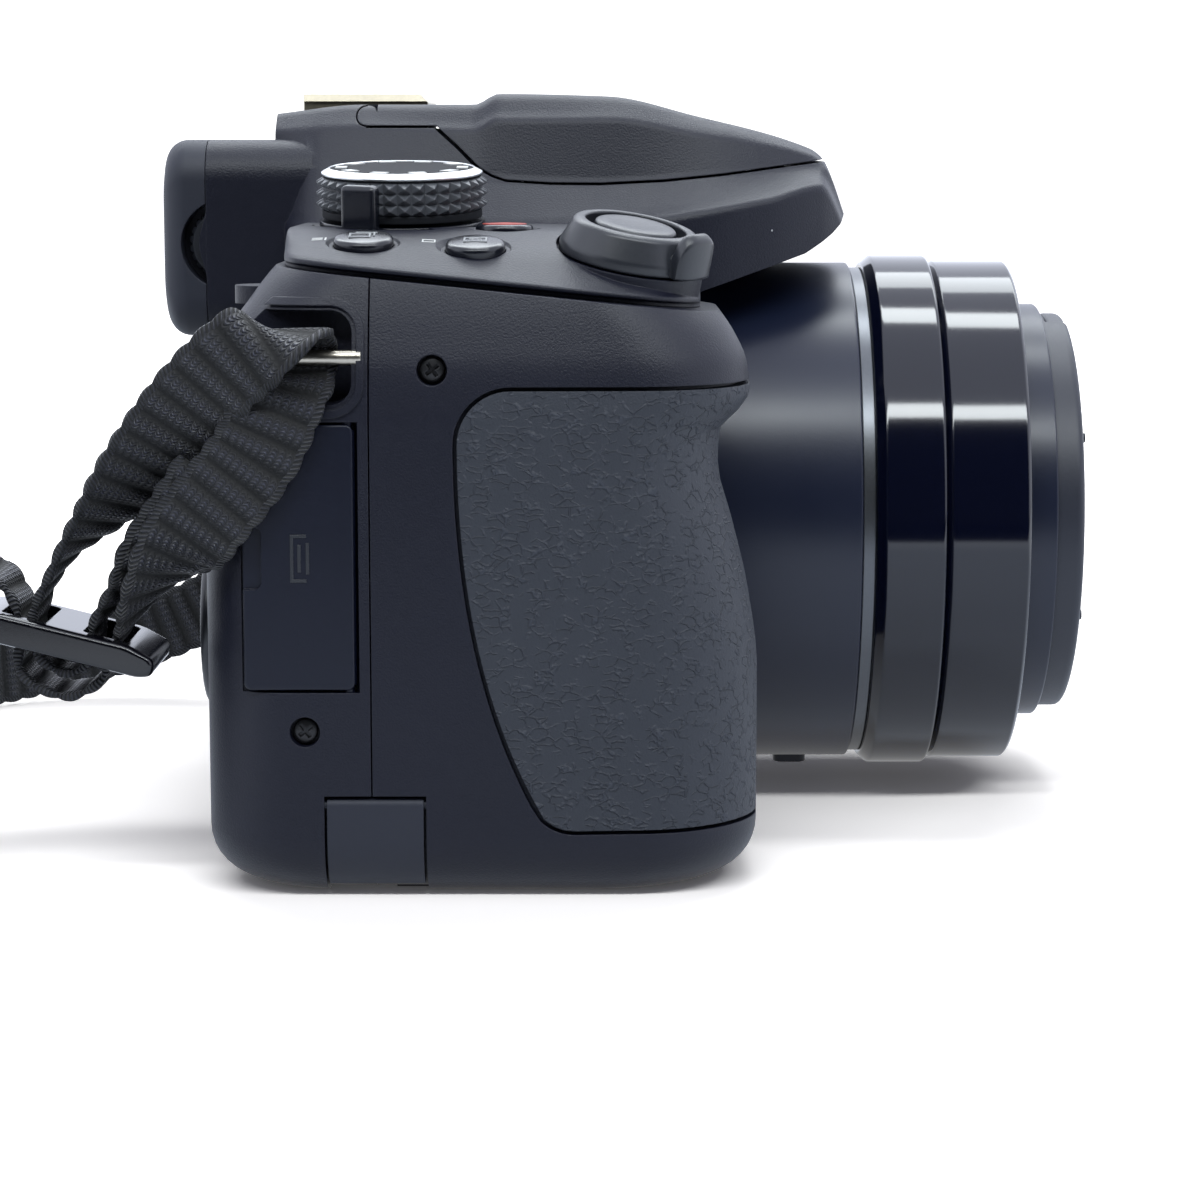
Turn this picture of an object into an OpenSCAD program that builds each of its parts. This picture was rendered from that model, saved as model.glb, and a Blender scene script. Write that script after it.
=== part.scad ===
// Bridge camera with a fixed zoom lens, tilting eye-level finder and neck strap.
// +X points along the lens, +Y to the camera's left, +Z up.
// Sizes along X are given from the lens flange, 0, in the middle of the front plate.
// The finished part stands with the mouth of its tripod socket at the origin.

/* [Casing] */
// Optical axis to the flat side of the grip
grip_side = 71; // [69:0.5:76]
// Optical axis to the left side
left_side = 53; // [51:0.5:58]
// Lens flange back to the rear face
rear_depth = 43.5; // [42.5:0.5:47]
// Lens flange forward to the front plate
front_depth = 2; // [1:0.5:3]
// Lens flange forward to the front of the grip
grip_reach = 17.6; // [16.5:0.1:20]
// Optical axis to the inner side of the grip
grip_inner = 38; // [36:0.5:41]
// Casing left above the lens spigot, under the finder
lens_cover = 4; // [3:0.5:7]
// Rounding of the base edge
base_r = 7; // [5:0.5:7.5]
// Parting between front shell and rear cover, behind the lens flange
seam_back = 24.8; // [24.2:0.2:25.4]
// Thickness of the grip rubber
rubber_t = 1.2; // [0.8:0.1:1.6]
// Forward slope of the parting under the top plate, in degrees
deck_slope = 5.9; // [4:0.1:7]
// Lens flange back to the tripod socket
tripod_back = 10; // [8:0.5:12]

/* [Lens] */
// Base to the underside of the lens rings
lens_lift = 2.3; // [1.5:0.1:4]
// Wall of the fixed barrel
barrel_wall = 2.2; // [1.8:0.1:3]
// Length of the fixed barrel in front of the front plate
barrel_len = 29.6; // [26:0.2:34]
// Step from the barrel in to its spigot inside the casing
spigot_in = 4.8; // [4.4:0.1:6]
// Width of the bright trim ring
trim_len = 1.6; // [1:0.1:2.4]
// Step from the barrel out to the rear ring
ring_step = 0.9; // [0.4:0.1:2]
// Width of the rear ring
ring_len = 8.4; // [6:0.2:10]
// Step from the barrel out to the front ring, which takes a hood
hood_step = 0.2; // [0:0.1:1.5]
// Width of the front ring
hood_len = 10.2; // [8:0.2:13]
// Wall of the front tube round the filter seat
seat_wall = 0.9; // [0.7:0.1:1.4]
// Length of the front tube that stands out of the front ring at rest
tube_proud = 3.9; // [3:0.1:6]
// Wall of the middle tube
tube_wall = 3; // [2.4:0.1:3.2]
// Radius of the filter seat in the front tube
filter_r = 25.6; // [25:0.1:25.8]
// Depth of the filter seat
filter_depth = 4.2; // [3.5:0.1:5]
// Thickness of the cap in front of the tube
cap_proud = 3.5; // [3:0.1:5]
// Width of a cap latch
latch_w = 13; // [10:0.5:16]

/* [Finder and flash] */
// Half width of the eyepiece tunnel
tunnel_half = 20; // [18:0.5:21.5]
// Height of the eyepiece tunnel
tunnel_h = 24; // [22:0.5:25]
// Length of the tunnel behind the lens flange
tunnel_back = 48; // [47:0.5:50]
// Length of the eyecup
eyecup_len = 5.5; // [4.5:0.5:8]
// Radius of the dioptre wheel
diopter_r = 4.5; // [4:0.1:4.8]
// Radius of the flash hinge pin
hinge_pin_r = 0.6; // [0.5:0.05:0.7]
// Inner width of the hot shoe, between its side walls
shoe_w = 18.7; // [18.6:0.05:18.9]
// Length of the hot shoe
shoe_len = 15.4; // [15:0.1:15.6]

/* [Controls] */
// Radius of the mode dial over its knurl
dial_r = 10; // [9:0.1:10.6]
// Height of the mode dial
dial_h = 5.6; // [5:0.1:6.4]
// Tilt of the mode dial towards the grip side, in degrees
dial_tilt = 5; // [3:0.5:7]
// Radius of the top buttons
button_r = 3.3; // [2.8:0.1:3.6]
// Tilt of the two front top buttons towards the grip side, in degrees
button_tilt = 13; // [10:0.5:15]
// Outer radius of the zoom lever
lever_r = 8.1; // [7.4:0.1:8.4]
// Radius of the shutter button
shutter_r = 4.6; // [4:0.1:5]
// Tilt of the shutter button, both forward and sideways, in degrees
shutter_tilt = 10; // [7:0.5:12]
// Radius of the small rear buttons
rear_button_r = 2.6; // [2.2:0.1:3]
// Radius of the cursor pad
pad_r = 9.5; // [8.5:0.1:10]
// Radius of the rear dial
rear_dial_r = 6; // [5.4:0.1:6.4]

/* [Doors and monitor] */
// Thickness of the side and base doors
door_t = 1.6; // [1.4:0.1:1.9]
// Width of the port door
port_w = 11.4; // [10.5:0.1:11.8]
// Height of the port door
port_h = 28.8; // [26:0.2:30]
// Width of the jack door on the left side
jack_w = 15; // [12:0.5:16]
// Height of the jack door
jack_h = 20; // [16:0.5:24]
// Length of the battery door along the grip
battery_l = 26; // [25:0.5:27]
// Width of the battery door
battery_w = 15.6; // [15:0.1:16]
// Casing left above the monitor panel
monitor_rail = 11; // [10:0.5:14]
// Width of the monitor panel
monitor_w = 70; // [66:0.5:71]
// Thickness of the monitor panel
monitor_t = 5.1; // [4.5:0.1:6]

/* [Strap] */
// Width of the webbing
strap_w = 10; // [9:0.5:10]
// Thickness of the webbing
strap_t = 1.2; // [1:0.1:1.3]
// Radius of a strap bar
bar_r = 0.85; // [0.7:0.05:0.9]

/* [Fits] */
// Running gap of shafts, pins and sliding tubes
run_fit = 0.05; // [0.03:0.01:0.08]
// Gap round buttons, doors and other moving covers
move_gap = 0.3; // [0.2:0.05:0.4]
// Gap at partings and round fixed inserts
seat_gap = 0.08; // [0.05:0.01:0.15]
// Tripod screw radius, a quarter inch thread
tripod_r = 3.175; // [3:0.005:3.3]

/* [Hidden] */
$fn = 48;
far = 120;

// Lengthwise stations of the lens
barrel_end = front_depth + barrel_len;
ring_start = barrel_end + trim_len;
hood_start = ring_start + ring_len;
hood_end = hood_start + hood_len;
tube_end = hood_end + tube_proud;
cap_end = tube_end + cap_proud;

// Radii of the lens, from the filter seat outwards
tube_r = filter_r + seat_wall;
middle_r = tube_r + run_fit + tube_wall;
barrel_bore = middle_r + run_fit;
barrel_r = barrel_bore + barrel_wall;
neck_r = barrel_r - 1;
spigot_r = barrel_r - spigot_in;
ring_r = barrel_r + ring_step;
hood_r = barrel_r + hood_step;
axis_h = ring_r + lens_lift;
case_h = axis_h + spigot_r + lens_cover;
tube_bore = filter_r - 1.2;
tube_back = front_depth + 3.2;
glass_seat = tube_end - filter_depth - 6;
rear_glass_r = 10;

// Levels of the casing: round base edge, grip waist, then the shoulders
base_levels = [for (a = [0:22.5:90]) base_r * (1 - cos(a))];
shoulder_drop = 13;
waist_steps = [0.17, 0.37, 0.57, 0.74, 0.87, 0.95];
waist_levels = [for (k = waist_steps) base_r + k * (case_h - shoulder_drop - base_r)];
shoulder_levels = [for (d = [-shoulder_drop, -11, -8, -4.5, -1, 2, 5]) case_h + d];
case_levels = concat(base_levels, waist_levels, shoulder_levels);

function base_fall(z) = z >= base_r ? 0 : base_r - sqrt(base_r * base_r - pow(base_r - z, 2));
function rear_fall(z) = base_fall(z)
    + lookup(z - case_h, [[-13, 0], [-8, 0.6], [-4.5, 2.3], [-1, 4.8], [2, 7], [5, 9.8]]);
function side_fall(z) = base_fall(z)
    + lookup(z - case_h, [[-13, 0], [-8, 0.7], [-4.5, 1.7], [-1, 2.9], [2, 4.2], [5, 6.2]]);
function left_fall(z) = base_fall(z)
    + lookup(z - case_h, [[-13, 0], [-8, 0.6], [-4.5, 2], [-1, 5], [2, 9], [5, 14]]);
function front_fall(z) = base_fall(z) / 2
    + lookup(z - case_h, [[-8, 0], [-4.5, 0.4], [-1, 1.2], [5, 2.4]]);
function nose_fall(z) = base_fall(z)
    + (z < case_h - shoulder_drop
        ? lookup((z - base_r) / (case_h - shoulder_drop - base_r),
            [[0.37, 0], [0.57, 1.1], [0.74, 3], [0.87, 4.5], [0.95, 4.4], [1, 2.2]])
        : lookup(z - case_h, [[-shoulder_drop, 2.2], [-11, 1], [-8, 1.3], [-4.5, 2.8], [-1, 5.4],
            [2, 8], [5, 11]]));

// Plan rounding of the casing: rear corners, grip nose, grip's inner corner, valley, left front corner
corner_r = 10;
nose_r = 13;
inner_r = 6;
valley_r = 3.6;
left_r = 8;

// Parting plane of the top plate and its far edge against the finder housing
deck_at = [-11, case_h + 0.2];
deck_far = 26.2;
function deck_seat(x) = deck_at[1] - (x - deck_at[0]) * tan(deck_slope);

// Finder housing: half widths, and heights above the casing's top, along X
function hump_top(x) = case_h + lookup(x, [[-40, 19.6], [-29, 20.7], [-15.5, 20.7], [-12.5, 22],
    [1, 21.7], [11.5, 19.4], [26, 15.4], [27.7, 14.2], [31, 6.2]]);
function hump_top_w(x) = lookup(x, [[-40, 11], [-34, 13.5], [-12, 14], [11.5, 13], [26, 9.5], [31, 8]]);
function hump_edge(x) = hump_top(x)
    - lookup(x, [[-40, 2.2], [-12.5, 3.6], [11.5, 2.4], [26, 0.8], [31, 0.3]]);
function hump_edge_w(x) = lookup(x, [[-40, 14], [-34, 16.8], [-12, 17.5], [11.5, 16.5], [26, 12],
    [31, 9.5]]);
function hump_seam(x) = case_h + lookup(x, [[-40, 14], [-20, 12.4], [-12, 11.6], [0, 11.2], [15, 12.2],
    [27.7, 13], [31, 5.8]]);
function hump_seam_w(x) = hump_edge_w(x)
    + lookup(x, [[-40, 0.6], [-34, 3], [-12, 2.2], [11.5, 2], [26, 1.2], [31, 0.6]]);
function hump_fold(x) = case_h + lookup(x, [[-40, 8], [-34, 6.4], [-10, 6.6], [20, 10.6], [27, 12.2],
    [31, 5.4]]);
function hump_fold_w(x) = lookup(x, [[-40, 15.5], [-37, 21], [-34, 24], [-10, 25], [10, 22.8], [20, 18.8],
    [27, 14], [31, 11]]);
function hump_low_w(x) = lookup(x, [[-40, 16], [-37, 23], [-34, deck_far - 0.2], [4, deck_far - 0.2],
    [12, 25.2], [20, 22.5], [27, 18], [31, 13]]);
hump_stations = [-40, -37, -34, -29, -21, -15.5, -12.5, 1, 11.5, 20.4, 26, 27.7, 31];
hump_low = case_h - 8;

// Flash lid: parting seen from the side, hinge axis and the ring that clears the hot shoe
flash_axis = [-28.6, case_h + 19.3];
arm_half = 1.2;
arm_in = shoe_w / 2 + 1.75;
lid_clear_r = 7.6;
flash_pin_half = 17;
flash_pin_in = arm_in - 0.5;
window_x = [-9, 19];
reflector_x = [-3, 14];
function lid_seam(g) = [[flash_axis[0], case_h + 40], [flash_axis[0], flash_axis[1] - arm_half - g],
    [-20 - g, flash_axis[1] - arm_half - g], [-14.8 - g, case_h + 13 - g], [-11.5, case_h + 11.6 - g],
    [0, case_h + 11.2 - g], [15, case_h + 12.3 - g], [40, case_h + 15.6 - g], [40, case_h + 40]];

// Hot shoe
shoe_back = -36.8;
shoe_front = shoe_back + shoe_len;
shoe_floor = case_h + 19;
shoe_top = shoe_floor + 3;
shoe_wall = 0.8;
shoe_lip = 12.5;
shoe_slope = 1;

// Eyepiece
tunnel_mid = case_h + 4.4;
tunnel_front = -35;
eye_bore = 9;
eye_glass = 5.6 - tunnel_back;
diopter_at = [2.3 - tunnel_back, tunnel_mid - 0.6];
diopter_y = -tunnel_half + 1;
diopter_t = 2.2;

// Top controls
dial_at = [-22.9, -38.6, case_h + 6.4];
dial_neck_r = 5;
dial_shaft_r = 3;
lever_t = 0.8;
power_sweep = 28;
power_tab_r = dial_r + 2.4;
power_angle = 249;
burst_at = [-26, -58.6, case_h + 5.3];
function_at = [-13.7, -58.6, case_h + 4.75];
record_at = [-10.8, -48, case_h + 6.5];
shutter_at = [3.3, -55, case_h + 3.1];
lever_h = 4;

// Rear controls
rear_dial_at = [-rear_depth + 6.9, -57, case_h - 4.2];
rear_dial_t = 2.8;
pad_at = [-51, 28];
lock_at = [-34, case_h - 16];
display_at = [-34, case_h - 27];
menu_at = [-34, 11];
play_at = [-46, 11];

// Doors: hinge lines at the casing's faces
pin_r = 0.5;
pin_len = 1.2;
port_hinge = [-seam_back - 2.3, -grip_side + door_t / 2, case_h - 28.2];
jack_hinge = [-6.8, left_side - door_t / 2, 34];
jack_r = 1.8;
battery_hinge = [-9.6, -48, door_t / 2];
flap_x = [-29.7, -19.2];
flap_hinge = [-grip_side + door_t / 2, 10.6];
flap_low = 1.4;

// Battery bay inside the grip
bay_x = [-22, 3];
bay_y = [-63.5, -49.5];
bay_top = case_h - 15;

// Monitor: hinge axis behind the rear face, at the camera's left
monitor_back = rear_depth + 3.8;
monitor_axis = [-monitor_back + monitor_t / 2, 46];
monitor_low = 6;
monitor_h = case_h - monitor_low - monitor_rail;
monitor_right = monitor_axis[1] - 2.5 - monitor_w;
knuckle_r = monitor_t / 2 - 0.1;
hinge_groove = 0.5;

// Strap bars
bar_at = [-rear_depth + 10.3, -grip_side + 1.4, case_h - 6.7];
recess_in = 6.5;

// Main board, behind the parting of the casing
board_x = [-seam_back - 5.7, -seam_back - 4.2];

// Tripod bush
bush_r = 5.5;
bush_h = 6.5;

function arc(c, r, a0, a1, n) = [for (k = [0:n]) let (a = a0 + (a1 - a0) * k / n)
    [c[0] + r * cos(a), c[1] + r * sin(a)]];
function bend(p, q, s, n) = [for (k = [0:n]) let (t = k / n)
    p * (1 - t) * (1 - t) + q * 2 * t * (1 - t) + s * t * t];
function mirrored(pts) = [for (k = [len(pts) - 1:-1:0]) [-pts[k][0], pts[k][1]]];
function unit(v) = v / norm(v);

// Outline of the casing at height z, drawn in by i
function case_ring(z, i) =
    let (rear = -rear_depth + rear_fall(z) + i,
         side = -grip_side + side_fall(z) + i,
         nose = grip_reach - nose_fall(z) - i,
         left = left_side - left_fall(z) - i,
         front = front_depth - front_fall(z) - i,
         inner = -grip_inner - i,
         ri = max(0.5, min(inner_r, nose - front - valley_r)))
    concat(
        arc([rear + corner_r, side + corner_r], corner_r, 180, 270, 4),
        arc([nose - nose_r, side + nose_r], nose_r, 270, 360, 6),
        arc([nose - ri, inner - ri], ri, 0, 90, 3),
        arc([front + valley_r, inner + valley_r], valley_r, 270, 180, 3),
        arc([front - left_r, left - left_r], left_r, 0, 90, 3),
        arc([rear + corner_r, left - corner_r], corner_r, 90, 180, 4));

// Solid through closed rings of equal count, each ring anticlockwise seen from the next
module loft(rings) {
    n = len(rings[0]);
    m = len(rings);
    sides = [for (j = [0:m - 2]) for (k = [0:n - 1])
        let (a = j * n + k, b = j * n + (k + 1) % n)
        each [[a, a + n, b + n], [a, b + n, b]]];
    polyhedron(
        points = [for (r = rings) each r],
        faces = concat([[for (k = [0:n - 1]) k]], [[for (k = [n - 1:-1:0]) (m - 1) * n + k]], sides));
}

// Part moved so that the tripod socket is at the origin
module placed() {
    translate([tripod_back, 0, 0]) children();
}

module block(x, y, z) {
    translate([x[0], y[0], z[0]]) cube([x[1] - x[0], y[1] - y[0], z[1] - z[0]]);
}

module rod_x(r, x) {
    translate([x[0], 0, 0]) rotate([0, 90, 0]) cylinder(r = r, h = x[1] - x[0]);
}

module rod_y(r, y) {
    translate([0, y[1], 0]) rotate([90, 0, 0]) cylinder(r = r, h = y[1] - y[0]);
}

// Outline in X and Z, drawn out along Y
module slab_y(pts, y) {
    translate([0, y[1], 0]) rotate([90, 0, 0]) linear_extrude(y[1] - y[0]) polygon(pts);
}

// Round-cornered outline in Y and Z, drawn out along X
module slab_x(w, h, r, x) {
    translate([x[0], 0, 0]) rotate([90, 0, 90]) linear_extrude(x[1] - x[0]) {
        square([w - 2 * r, h], center = true);
        square([w, h - 2 * r], center = true);
        for (u = [-1, 1]) for (v = [-1, 1]) translate([u * (w / 2 - r), v * (h / 2 - r)]) circle(r);
    }
}

module on_axis() {
    translate([0, 0, axis_h]) children();
}

// Ring about the optical axis
module lens_ring(r_out, r_in, x) {
    on_axis() difference() {
        rod_x(r_out, x);
        rod_x(r_in, [x[0] - 1, x[1] + 1]);
    }
}

module case_solid(i) {
    loft([for (z = case_levels) [for (p = case_ring(z, i)) [p[0], p[1], z]]]);
}

// Casing cut flat under the finder and along the parting of the top plate
module case_body() {
    difference() {
        case_solid(0);
        block([-far, far], [-deck_far, far], [case_h, far]);
        translate([deck_at[0], 0, deck_at[1]]) rotate([0, deck_slope, 0])
            block([-far, far], [-far, -deck_far + seat_gap], [0, 30]);
        block([-far, tunnel_front + seat_gap], [-tunnel_half - seat_gap, tunnel_half + seat_gap],
            [tunnel_mid - tunnel_h / 2 - seat_gap, far]);
    }
}

// Side outline of the grip rubber: round top corner, long curved rear edge, low front edge
function rubber_outline(g) = concat(
    arc([-9.6, case_h - 16], 6.2 - g, 90, 180, 4),
    bend([-15.8 + g, case_h - 17], [-15.6 + g, 26], [-7.5 + g, 10.5 + g], 6),
    arc([-2.8, 12.6], 5.2 - g, 225, 270, 2),
    [[far, 10.4 + g], [far, case_h - 9.3 - g]]);

module rubber_zone(g) {
    slab_y(rubber_outline(g), [-far, -grip_inner - 3 + (g > 0 ? -g : 0)]);
}

module screw_places() {
    for (p = [[-18, case_h - 8], [-32, port_hinge[2] - port_h / 2 - 4.6]]) {
        translate([p[0], -grip_side + side_fall(p[1]), p[1]]) rotate([90, 0, 0]) children();
        translate([p[0], left_side - left_fall(p[1]), p[1]]) rotate([-90, 0, 0]) children();
    }
    for (p = [[-34, 20], [-34, -30], [-12, 38]])
        translate([p[0], p[1], 0]) rotate([180, 0, 0]) children();
}
screw_r = 1.35;
screw_deep = 0.7;
screw_len = 4;

module screw_hole() {
    translate([0, 0, -screw_deep - 1]) cylinder(r = screw_r + move_gap, h = 5);
    translate([0, 0, -screw_deep - screw_len]) cylinder(r = screw_r / 2 + seat_gap, h = screw_len);
}

// Leaf of a door: hinge along Z at the origin, leaf towards -X, outer face towards -Y
module leaf(w, h) {
    translate([-w, -door_t / 2, -h / 2]) cube([w, door_t, h]);
    cylinder(r = door_t / 2, h = h, center = true);
    cylinder(r = pin_r, h = h + 2 * pin_len, center = true);
}

module leaf_pocket(w, h) {
    translate([-w - move_gap, -5, -h / 2 - move_gap])
        cube([w + move_gap, 5 + door_t / 2 + move_gap, h + 2 * move_gap]);
    cylinder(r = door_t / 2 + move_gap, h = h + 2 * move_gap, center = true);
    translate([-1, -5, -h / 2 - move_gap]) cube([1 + door_t / 2 + move_gap, 5, h + 2 * move_gap]);
    cylinder(r = pin_r + run_fit, h = h + 2 * pin_len + 2 * move_gap, center = true);
}

module port_place() {
    translate(port_hinge) children();
}

module jack_place() {
    translate(jack_hinge) mirror([0, 1, 0]) children();
}

module battery_place() {
    translate(battery_hinge) rotate([90, 0, 90]) children();
}

module flap_pocket() {
    difference() {
        block([flap_x[0] - move_gap, flap_x[1] + move_gap], [-far, 0], [flap_low - 5, flap_hinge[1]]);
        case_solid(door_t + move_gap);
    }
    translate([0, flap_hinge[0], flap_hinge[1]]) {
        rod_x(door_t / 2 + move_gap, [flap_x[0] - move_gap, flap_x[1] + move_gap]);
        rod_x(pin_r + run_fit, [flap_x[0] - pin_len - move_gap, flap_x[1] + pin_len + move_gap]);
        block([flap_x[0] - move_gap, flap_x[1] + move_gap], [-5, 0], [0, door_t / 2 + move_gap]);
    }
}

module front_shell() {
    color([0.09, 0.09, 0.1]) difference() {
        intersection() {
            case_body();
            block([-seam_back + seat_gap, far], [-far, far], [-1, far]);
        }
        on_axis() rod_x(spigot_r + seat_gap, [-far, far]);
        block(bay_x, bay_y, [-1, bay_top]);
        difference() {
            rubber_zone(0);
            case_solid(rubber_t + seat_gap);
        }
        battery_place() leaf_pocket(battery_w, battery_l);
        jack_place() leaf_pocket(jack_w, jack_h);
        for (z = [-5, 5]) translate([jack_hinge[0] - jack_w / 2, 0, jack_hinge[2] + z])
            rod_y(jack_r, [left_side - 14, left_side]);
        flap_pocket();
        screw_places() screw_hole();
        translate([-tripod_back, 0, -1]) cylinder(r = bush_r + seat_gap, h = bush_h + 1 + seat_gap);
    }
}

module rear_cover() {
    color([0.09, 0.09, 0.1]) difference() {
        union() {
            intersection() {
                case_body();
                block([-far, -seam_back - seat_gap], [-far, far], [-1, far]);
            }
            monitor_ears();
            thumb_ledge();
        }
        monitor_recess();
        port_place() leaf_pocket(port_w, port_h);
        port_bore(seat_gap);
        flap_pocket();
        translate(rear_dial_at) {
            cylinder(r = rear_dial_r + move_gap, h = rear_dial_t + 2 * move_gap, center = true);
            cylinder(r = 1 + run_fit, h = rear_dial_t + 3, center = true);
        }
        for (s = [-1, 1]) strap_recess(s);
        board_bay(seat_gap);
        rear_button_bores();
        thumb_zone(seat_gap, 5);
        screw_places() screw_hole();
        bar_solids(seat_gap);
    }
}

// Small ledge over the rear dial that guides the thumb
module thumb_ledge() {
    translate([rear_dial_at[0] + 1, rear_dial_at[1] + 3, rear_dial_at[2] + rear_dial_t / 2 + move_gap +
        1.2])
        hull() {
            translate([-4, 0, 0]) cylinder(r = 3, h = 1.4, $fn = 32);
            translate([4, 0, 0]) cylinder(r = 4, h = 2.2, $fn = 32);
        }
}

// Rubber pad on the flat of the rear face, set in by its thickness less a small step
module thumb_zone(g, out) {
    translate([-rear_depth, -53.5, 46]) slab_x(14 + 2 * g, 13 + 2 * g, 4, [-out, 1 + g]);
}

module thumb_pad() {
    color([0.13, 0.13, 0.14]) thumb_zone(0, 0.3);
}

module monitor_ears() {
    for (z = [[monitor_low - 2, monitor_low + 2 - move_gap],
            [monitor_low + monitor_h - 2 + move_gap, monitor_low + monitor_h + 2]])
        translate([0, 0, z[0]]) linear_extrude(z[1] - z[0]) {
            translate(monitor_axis) circle(knuckle_r);
            translate([monitor_axis[0], monitor_axis[1] - knuckle_r]) square([8, 2 * knuckle_r]);
        }
}

module monitor_recess() {
    block([-far, -monitor_back + monitor_t + move_gap],
        [monitor_right - move_gap, monitor_axis[1] - knuckle_r - move_gap],
        [monitor_low - move_gap, monitor_low + monitor_h + move_gap]);
    translate([0, 0, monitor_low + 2 - move_gap]) linear_extrude(monitor_h - 4 + 2 * move_gap) {
        translate(monitor_axis) circle(knuckle_r + move_gap);
        translate([monitor_axis[0] - 9, monitor_axis[1] - knuckle_r - move_gap - 1])
            square([9, 2 * knuckle_r + 2 * move_gap + 1]);
        translate([monitor_axis[0], monitor_axis[1] - knuckle_r - move_gap - 1])
            square([monitor_t / 2 + move_gap, knuckle_r + move_gap + 1]);
    }
    translate([monitor_axis[0], monitor_axis[1], monitor_low]) cylinder(r = 1 + run_fit, h = monitor_h);
}

module rear_button_bores() {
    for (p = [lock_at, display_at, menu_at, play_at])
        translate([-rear_depth, p[0], p[1]]) rod_x(rear_button_r + seat_gap, [-3, 3]);
    translate([-rear_depth, pad_at[0], pad_at[1]]) rod_x(pad_r + seat_gap, [-3, 3]);
}

module board_bay(g) {
    block([board_x[0] - 2.5, -seam_back + 1], [-23 - g, 44 + g], [8 - g, case_h - 12 + g]);
}

module port_bore(g) {
    translate([port_hinge[0] - port_w / 2, -grip_side + door_t, port_hinge[2]])
        cube([3.6 + 2 * g, 14 + 2 * g, 11.4 + 2 * g], center = true);
}

// Bent wire across the recess: straight bar, round elbow, leg into the casing
module bar_solids(g) {
    for (s = [-1, 1]) translate([0, s > 0 ? left_side - grip_side : 0, 0]) {
        y = s > 0 ? -bar_at[1] : bar_at[1];
        translate([0, y, bar_at[2]]) {
            rod_x(bar_r + g, [bar_at[0] - 6, -seam_back - 0.8]);
            translate([bar_at[0] - 6, 0, 0]) {
                sphere(bar_r + g);
                rod_y(bar_r + g, s > 0 ? [-recess_in, 0] : [0, recess_in]);
            }
        }
    }
}

module strap_recess(s) {
    y = s > 0 ? left_side : -grip_side;
    translate([0, y, bar_at[2]]) rotate([90, 0, 0])
        linear_extrude(2 * (recess_in - 1), center = true) {
            translate([-44, -5]) square([44 - seam_back - 4.2, 10]);
            translate([-44, -2.6]) square([44 - seam_back - 1.8, 5.2]);
            for (v = [-1, 1]) translate([-seam_back - 4.2, v * 2.6]) circle(2.4);
        }
}

module strap_bars() {
    color([0.75, 0.74, 0.7]) bar_solids(0);
}

// Section of the top plate at station x: shadow groove at its near edge, slope, then level crest
function deck_near(x) = -grip_side + lookup(x, [[-35, 15], [-34.5, 11], [-33, 7.9], [-30, 5.9], [-26, 5],
    [-2, 5.2], [4, 6.4], [8, 9], [10.6, 13.5], [11.4, 18]]);
function deck_crest(x) = case_h + lookup(x, [[-35, 6.6], [-5, 6.5], [4, 5.6], [11.4, 4.2]]);
function deck_slant(x) = case_h + lookup(x,
    [[-35, 5.5], [-26, 5.4], [-13.7, 4.85], [4, 3.6], [11.4, 2.8]]);
function deck_ring(x) =
    let (y = deck_near(x), s = deck_seat(x), c = deck_crest(x), b = max(y + 3, -51.5), m = (b + y) / 2)
    [[-deck_far, s], [-deck_far, c], [b + 3, c], [b, c - 0.2], [m, deck_slant(x)], [y + 0.8, s + 1.5],
        [y, s + 1.1],
     [y, s + 0.6], [y + 0.9, s + 0.5], [y + 0.9, s]];
deck_stations = [-35, -34.5, -33, -30, -26, -18, -10, -2, 4, 8, 10.6, 11.4];

module dial_place() {
    translate(dial_at) rotate([dial_tilt, 0, 0]) children();
}

module shutter_place() {
    translate(shutter_at) rotate([shutter_tilt, shutter_tilt, 0]) children();
}

module top_plate() {
    color([0.1, 0.1, 0.11]) difference() {
        union() {
            loft([for (x = deck_stations) [for (p = deck_ring(x)) [x, p[0], p[1]]]]);
            dial_place() translate([0, 0, -2]) cylinder(r = dial_r - 0.2, h = 2 + lever_t);
            shutter_place() translate([0, 0, -3]) cylinder(r = lever_r + 0.2, h = 3 + lever_h - 1);
        }
        dial_place() difference() {
            union() {
                cylinder(r = dial_r + 0.5, h = 9);
                power_slot();
            }
            cylinder(r = dial_neck_r, h = lever_t + 2 * seat_gap);
        }
        shutter_place() difference() {
            cylinder(r = lever_r + move_gap, h = 9);
            cylinder(r = shutter_r + 1, h = lever_h - 1);
        }
        dial_place() translate([0, 0, -4]) cylinder(r = dial_shaft_r + run_fit, h = 8);
        button_bore(burst_at, button_tilt, button_r);
        button_bore(function_at, button_tilt, button_r);
        button_bore(record_at, 0, button_r);
        shutter_place() translate([0, 0, -2]) cylinder(r = shutter_r + seat_gap, h = 12);
        translate([deck_at[0], 0, deck_at[1]]) rotate([0, deck_slope, 0])
            block([-far, far], [-far, far], [-30, seat_gap / 2]);
    }
}

// Sector that the tab of the power lever sweeps
module power_slot() {
    intersection() {
        cylinder(r = power_tab_r + move_gap, h = 9);
        linear_extrude(9) polygon(concat([[0, 0]],
            arc([0, 0], 2 * dial_r, power_angle - 13, power_angle + power_sweep + 13, 4)));
    }
}

// Bore for a top button with a shallow dish round it
module button_bore(at, tilt, r) {
    translate(at) rotate([tilt, 0, 0]) {
        translate([0, 0, -2.6]) cylinder(r = r + seat_gap, h = 6);
        translate([0, 0, -0.4]) cylinder(r1 = r + 0.5, r2 = r + 1.3, h = 0.8);
    }
}

// Button cap: straight skirt and a domed face
module button_cap(r, h, dome) {
    rotate_extrude() polygon(concat([[0, 0]], [[r, 0]],
        [for (a = [0:15:90]) [r - 0.5 + 0.5 * cos(a), h - 0.5 + 0.5 * sin(a)]], [[0, h + dome]]));
}

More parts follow.
